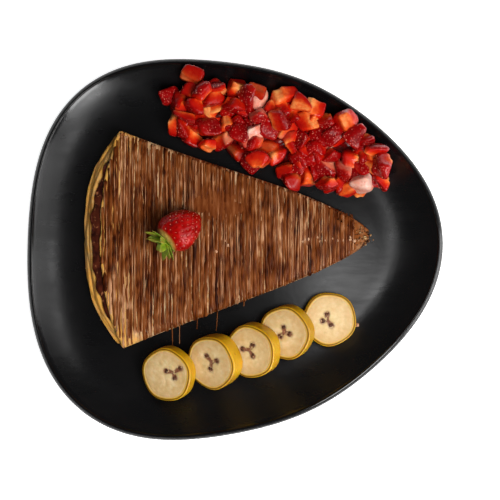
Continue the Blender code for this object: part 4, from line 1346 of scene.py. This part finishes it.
# Pixels of the photograph over the middles of each slice's three pairs of seeds.
SEED_PIXELS = (
    ((166.0, 371.0), (180.0, 368.5), (174.5, 378.0)),
    ((206.6, 356.0), (216.5, 361.0), (210.4, 369.0)),
    ((242.5, 349.0), (252.5, 345.0), (252.5, 356.0)),
    ((283.4, 327.6), (280.0, 336.4), (289.6, 334.2)),
    ((331.4, 325.4), (322.6, 321.0), (327.0, 314.3)),
)
CAMERA_PLACE = (0.0101, -0.0003, 0.8210)
CAMERA_LENS = 85.0
CAMERA_SENSOR = 36.0
PHOTO_SIZE = 500


def banana_outline(angle):
    """Radius of a slice, which has five faint sides."""
    return BANANA_RADIUS * (1.0 + BANANA_SIDE_DEPTH * np.cos(5 * angle))


def banana_frames():
    """The place of each slice, found from the last to the first, as each leans on the next."""
    along = Vector((math.cos(BANANA_ROW), math.sin(BANANA_ROW), 0.0))
    sideways = Vector((-along.y, along.x, 0.0))
    overhang = BANANA_RADIUS * BANANA_SIDE_DEPTH
    frames, corner = [], None
    for i in reversed(range(5)):
        lean = math.atan2(corner[1] - FLOOR_HEIGHT, corner[0] - BANANA_STEPS[i]) if corner else 0.0
        place = Vector((*BANANA_FOOT, FLOOR_HEIGHT + GAP)) + along * BANANA_STEPS[i]
        place += sideways * BANANA_SIDEWAYS[i]
        turn = Matrix.Rotation(BANANA_ROW, 4, "Z") @ Matrix.Rotation(-lean, 4, "Y")
        placed = Matrix.Translation(place) @ turn
        lift = 0.0
        for height, inset in ((0.0, BANANA_EDGE_ROUND), (BANANA_EDGE_ROUND, 0.0)):
            for j in range(28):
                angle = math.tau * j / 28
                reach = banana_outline(angle + BANANA_TURN * i) - inset
                rim_x, rim_y = BANANA_RADIUS + reach * math.cos(angle), reach * math.sin(angle)
                p = placed @ Vector((rim_x, rim_y, height))
                lift = max(lift, plate_at(p.x, p.y) + GAP - p.z)
        frames.insert(0, Matrix.Translation((0.0, 0.0, lift)) @ placed)
        top = FLOOR_HEIGHT + GAP + lift + BANANA_THICKNESS[i] * math.cos(lean) + overhang * math.sin(lean)
        corner = (BANANA_STEPS[i] - BANANA_THICKNESS[i] * math.sin(lean) - overhang, top + GAP)
    return frames


def on_slice(pixel, placed, thick):
    """Where the line of sight through a pixel meets a slice's face, in the slice's own frame."""
    eye = Vector(CAMERA_PLACE)
    scale = CAMERA_SENSOR / CAMERA_LENS / PHOTO_SIZE
    half = PHOTO_SIZE / 2
    way = Vector(((pixel[0] - half) * scale, (half - pixel[1]) * scale, -1.0))
    back = placed.inverted()
    start, way = back @ eye, back.to_3x3() @ way
    hit = start + way * ((thick - start.z) / way.z)
    return hit.x - BANANA_RADIUS, hit.y


def near_line(points, start, end):
    """1 on the line between two places on a face, fading to 0 beside it."""
    way = np.asarray(end) - start
    share = np.clip((points - start) @ way / max(way @ way, 1e-12), 0.0, 1.0)
    away = points - start - share[:, None] * way
    return np.exp(-((away**2).sum(axis=1)) / (0.0013 + 0.0011 * share) ** 2)


paint = Paint("banana", Subsurface_Weight=0.20, Subsurface_Scale=0.004)
rim, wall, seeds_near, core = map(paint.mark, ("rim", "wall", "near_seed", "core"))
grain = paint.noise(210.0, 5.0, 0.6)
flesh = paint.ramp(grain, (0.32, (216, 180, 122)), (0.55, (232, 202, 150)), (0.75, (243, 218, 176)))
flesh = paint.mix(paint.times(core, 0.35), flesh, (212, 186, 122))
flesh = paint.mix(paint.step(rim, 0.30, 0.92, 0.0, 0.5), flesh, (196, 150, 84))
blots = paint.step(paint.noise(520.0, 3.0), 0.36, 0.52, 0.30, 1.0)
blots = paint.times(paint.step(seeds_near, 0.10, 0.75, 0.0, 0.95), blots)
flesh = paint.mix(blots, flesh, (128, 74, 54))
flesh = paint.mix(paint.step(rim, 0.86, 0.93, 0.0, 0.55), flesh, (222, 184, 92))
peel = paint.ramp(paint.noise(60.0), (0.30, (190, 138, 8)), (0.60, (216, 164, 14)), (0.8, (206, 160, 26)))
peel = paint.mix(paint.step(paint.noise(180.0, 5.0), 0.62, 0.72, 0.0, 0.6), peel, (128, 84, 28))
flesh = paint.mix(paint.step(rim, 0.915, 0.955), flesh, peel)
# A dark brown ring at the slice's edge: partly the peel's own browned edge, partly painted shade where the
# slices lean on one another.
flesh = paint.mix(paint.step(rim, 0.940, 0.980, 0.0, 0.85), flesh, (94, 58, 20))
colour = paint.mix(paint.step(wall, 0.05, 0.25), flesh, peel)
rough = paint.between(grain, 0.32, 0.50)
normal = paint.bump(paint.noise(420.0, 4.0), 0.00010, paint.bump(paint.noise(120.0, 3.0), 0.00025))
banana_material = paint.done(Base_Color=colour, Roughness=rough, Normal=normal)

# A slice's rings of points run out over its face, down its side and in under it.
sides, face_rings, side_rings = 120, 44, 12
turns = np.linspace(0, math.tau, sides, endpoint=False)
seed_parts = []
for index, placed in enumerate(banana_frames()):
    thick = BANANA_THICKNESS[index]
    spots = [on_slice(pixel, placed, thick) for pixel in SEED_PIXELS[index]]
    centre = np.mean(spots, axis=0)
    marks = {"rim": [], "wall": [], "near_seed": [], "core": []}
    rows = []
    for step in range(face_rings + side_rings + face_rings // 2):
        if step < face_rings:
            share, height, down = step / (face_rings - 1), thick, 0.0
        elif step < face_rings + side_rings:
            down = (step - face_rings + 1) / (side_rings + 1)
            share, height = 1.0, thick * (1.0 - down)
        else:
            share = 1.0 - (step - face_rings - side_rings) / (face_rings // 2 - 1)
            height, down = 0.0, 0.0
        outline = banana_outline(turns + BANANA_TURN * index) - 0.0002
        round_edge = BANANA_EDGE_ROUND * max(1.0 - 14.0 * min(down, 1.0 - down), 0.0)
        share = max(share, 0.012)
        reach = share * (outline - round_edge)
        flat = together(reach * np.cos(turns), reach * np.sin(turns))
        from_centre = ((flat - centre) ** 2).sum(axis=1)
        drop, near = np.zeros(sides), np.zeros(sides)
        if step < face_rings:
            near = sum(near_line(flat, centre + 0.3 * (np.array(spot) - centre), spot) for spot in spots)
            groove = np.exp(-(((share - 0.885) / 0.014) ** 2))
            drop = 0.00028 * groove + 0.00030 * near + 0.00025 * float(smooth((share - 0.93) / 0.07))
            drop += 0.00005 * ripple(flat, 0.004, 90 + index) * (share < 0.95)
            drop += 0.0002 * np.exp(-from_centre / 0.0035**2)
        level = height - np.maximum(drop, 0.0)
        rows.append(together(BANANA_RADIUS + flat[:, 0], flat[:, 1], level))
        marks["rim"].append(np.full(sides, share))
        marks["wall"].append(np.full(sides, 1.0 if down > 0.0 else 0.0))
        marks["near_seed"].append(np.minimum(near, 1.0))
        marks["core"].append(np.exp(-from_centre / 0.0062**2))
    make_piece(
        f"banana_round_{index + 1}",
        carried(placed, np.concatenate(rows)),
        capped_faces(len(rows), sides),
        banana_material,
        (f"banana_slice_{index + 1}",),
        {label: np.concatenate(values) for label, values in marks.items()},
    )
    draw = random.Random(200 + index)
    places, ways = [], []
    for spot in spots:
        away = unit(np.array(spot) - centre)
        for side in (-1, 1):
            aside = np.array((-away[1], away[0])) * side
            px, py = spot + aside * draw.uniform(0.0006, 0.0010) + away * draw.uniform(-0.0005, 0.0005)
            places.append((BANANA_RADIUS + px, py, thick - 0.0005))
            ways.append((*unit(away + aside * draw.uniform(0.1, 0.5)), 0.0))
    turn = np.array(placed)[:3, :3]
    ups = np.tile(turn @ np.array([0.0, 0.0, 1.0]), (len(places), 1))
    seed_parts.append(seed_shapes(carried(placed, places), ups, np.array(ways) @ turn.T, 0.0031))
paint = Paint("banana_seed")
colour = paint.ramp(paint.noise(300.0), (0.35, (64, 34, 20)), (0.65, (108, 66, 42)))
seed_brown = paint.done(Base_Color=colour, Roughness=paint.between(paint.noise(500.0), 0.35, 0.5))
points, faces = join(seed_parts)
make_piece("banana_seed_marks", points, faces, seed_brown)

# %% [markdown]
# ## Crumbs and drops
# Crumbs of browned batter lie on and beside the crepe's tip. A few small pale flecks of cream lie
# on the strands, with a row of ten more that are painted glints along a ridge of the strands, and
# one drop lies beside the last slice of banana.

# %% Crumbs
CRUMBS = 26
draw = random.Random(401)
parts = []


def lump(x, y, size, base, flat=0.6):
    """A small uneven blob that lies on a height."""
    points = []
    rings, sides = 6, 9
    seed = draw.randrange(10000)
    for i in range(rings):
        polar = math.pi * (i + 0.5) / rings
        for j in range(sides):
            turn = math.tau * j / sides
            level = math.sin(polar)
            way = np.array([level * math.cos(turn), level * math.sin(turn), math.cos(polar)])
            grow = size * (1.0 + 0.28 * float(ripple([way], 1.2, seed)[0]))
            points.append((x + grow * way[0], y + grow * way[1], base + flat * (grow * way[2] + size)))
    return points, capped_faces(rings, sides)


for _ in range(CRUMBS):
    x, y = draw.gauss(0.0885, 0.0030), draw.gauss(0.0080, 0.0032)
    on = drop_on_crepe(x, y)
    base = on if on else plate_at(x, y) + 0.0001
    parts.append(lump(x, y, draw.uniform(0.0003, 0.0009), base))
points, faces = join(parts)
paint = Paint("browned_crumbs")
colour = paint.ramp(
    paint.noise(420.0), (0.38, (62, 32, 12)), (0.52, (140, 88, 38)), (0.66, (222, 190, 140))
)
crumb_brown = paint.done(Base_Color=colour, Roughness=paint.between(paint.noise(600.0), 0.55, 0.8))
make_piece("crumbs", points, faces, crumb_brown)

# %% Pale flecks and a drop
# (x, y, radius, length along the strands as a share of the radius)
# The first ten, in a row, are painted glints along a ridge of the strands; the rest are cream.
FLECKS = [(0.0445 + 0.0036 * k, 0.0072, 0.0006, 1.5) for k in range(10)]
FLECKS += [(-0.008, 0.0075, 0.0008, 1.6), (-0.0045, 0.0040, 0.0010, 1.0), (-0.0125, -0.0005, 0.0008, 1.2)]
FLECKS += [(0.0796, 0.0095, 0.0013, 2.2), (0.0812, 0.0060, 0.0009, 1.2), (0.0838, 0.0078, 0.0009, 1.0)]
DROP_PLACE = (0.0838, -0.0520)
draw = random.Random(402)
parts = []
for x, y, size, long in FLECKS:
    x, y = x + draw.uniform(-0.0018, 0.0018), y + draw.uniform(-0.0020, 0.0020)
    size *= draw.uniform(0.5, 1.2)
    points, faces = lump(0.0, 0.0, size, (drop_on_crepe(x, y) or 0.015) + 0.0002, 0.45)
    parts.append(([(x + px, y + py * long, pz) for px, py, pz in points], faces))
parts.append(lump(*DROP_PLACE, 0.0015, plate_at(*DROP_PLACE), 0.5))
points, faces = join(parts)
# The pale cream colour also paints the glints of the row of flecks.
paint = Paint("cream_and_painted_glints", Specular_IOR_Level=0.3)
colour = paint.ramp(paint.noise(500.0), (0.35, (166, 112, 76)), (0.65, (216, 172, 136)))
cream_and_painted_glints = paint.done(Base_Color=colour, Roughness=paint.between(paint.noise(600.0), 0.4, 0.6))
make_piece("pale_flecks", points, faces, cream_and_painted_glints)

# %% [markdown]
# ## Floor, light and camera
# The dish stands on a plain pale floor. One large soft light comes from the lower right, and
# another hangs nearly overhead, a little to the right. These two light the dish and aren't
# mirrored in it. Four more are only mirrored: two low ones give the glaze its soft sheen, a
# long low strip draws the line of light along the lip, and a small one shines in the plate's
# floor near the crepe's tip. The camera looks straight down.

# %% Floor and lights


def flat_light(name, place, target, size, watts, lights_up=True, mirrored=True, height=None):
    """A flat softbox; one that only lights, or is only mirrored, is set so."""
    lamp = bpy.data.lights.new(name, "AREA")
    lamp.shape = "RECTANGLE"
    lamp.size = size
    lamp.size_y = height or size
    lamp.energy = watts
    light = bpy.data.objects.new(name, lamp)
    light.location = place
    light.visible_diffuse = lights_up
    light.visible_glossy = mirrored
    light.visible_camera = False
    light.rotation_euler = (Vector(target) - Vector(place)).to_track_quat("-Z", "Y").to_euler()
    bpy.context.scene.collection.objects.link(light)


FLOOR_HALF = 15.0
floor_mesh = bpy.data.meshes.new("floor")
corners = [(FLOOR_HALF * sx, FLOOR_HALF * sy, 0) for sx, sy in ((-1, -1), (1, -1), (1, 1), (-1, 1))]
floor_mesh.from_pydata(corners, [], [(0, 1, 2, 3)])
floor = bpy.data.objects.new("floor", floor_mesh)
bpy.context.scene.collection.objects.link(floor)
paint = Paint("pale_floor", Roughness=0.9, Emission_Strength=0.92, Emission_Color=grey(1.0))
shade = paint.ramp(paint.noise(4.0), (0.3, (238, 238, 238)), (0.7, (243, 243, 243)))
floor_mesh.materials.append(paint.done(Base_Color=shade))

flat_light("key", (0.43, -0.34, 0.84), (0.0, 0.0, 0.0), 0.45, 10.0, mirrored=False)
flat_light("overhead", (0.25, -0.08, 1.00), (0.03, 0.0, 0.0), 0.40, 2.6, mirrored=False)
flat_light("low_sheen", (0.58, -0.72, 0.40), (0.0, 0.0, 0.0), 0.40, 5.4, lights_up=False)
flat_light("side_sheen", (0.92, -0.10, 0.42), (0.0, 0.0, 0.0), 0.45, 1.3, lights_up=False)
flat_light("rim_glint", (1.26, -0.34, 0.15), (0.0, 0.0, 0.0), 1.00, 4.6, lights_up=False, height=0.20)
flat_light("near_sheen", (0.091, -0.028, 0.20), (0.091, -0.028, 0.0), 0.06, 0.07, lights_up=False)
world = bpy.data.worlds.new("studio")
world.use_nodes = True
world.node_tree.nodes["Background"].inputs["Color"].default_value = grey(1.0)
world.node_tree.nodes["Background"].inputs["Strength"].default_value = 0.07
bpy.context.scene.world = world

# %% Camera
lens = bpy.data.cameras.new("camera")
lens.lens = CAMERA_LENS
lens.sensor_width = CAMERA_SENSOR
camera = bpy.data.objects.new("camera", lens)
camera.location = CAMERA_PLACE
bpy.context.scene.collection.objects.link(camera)
bpy.context.scene.camera = camera
bpy.context.scene.view_settings.view_transform = "Standard"

# %% Finish
bpy.context.view_layer.update()
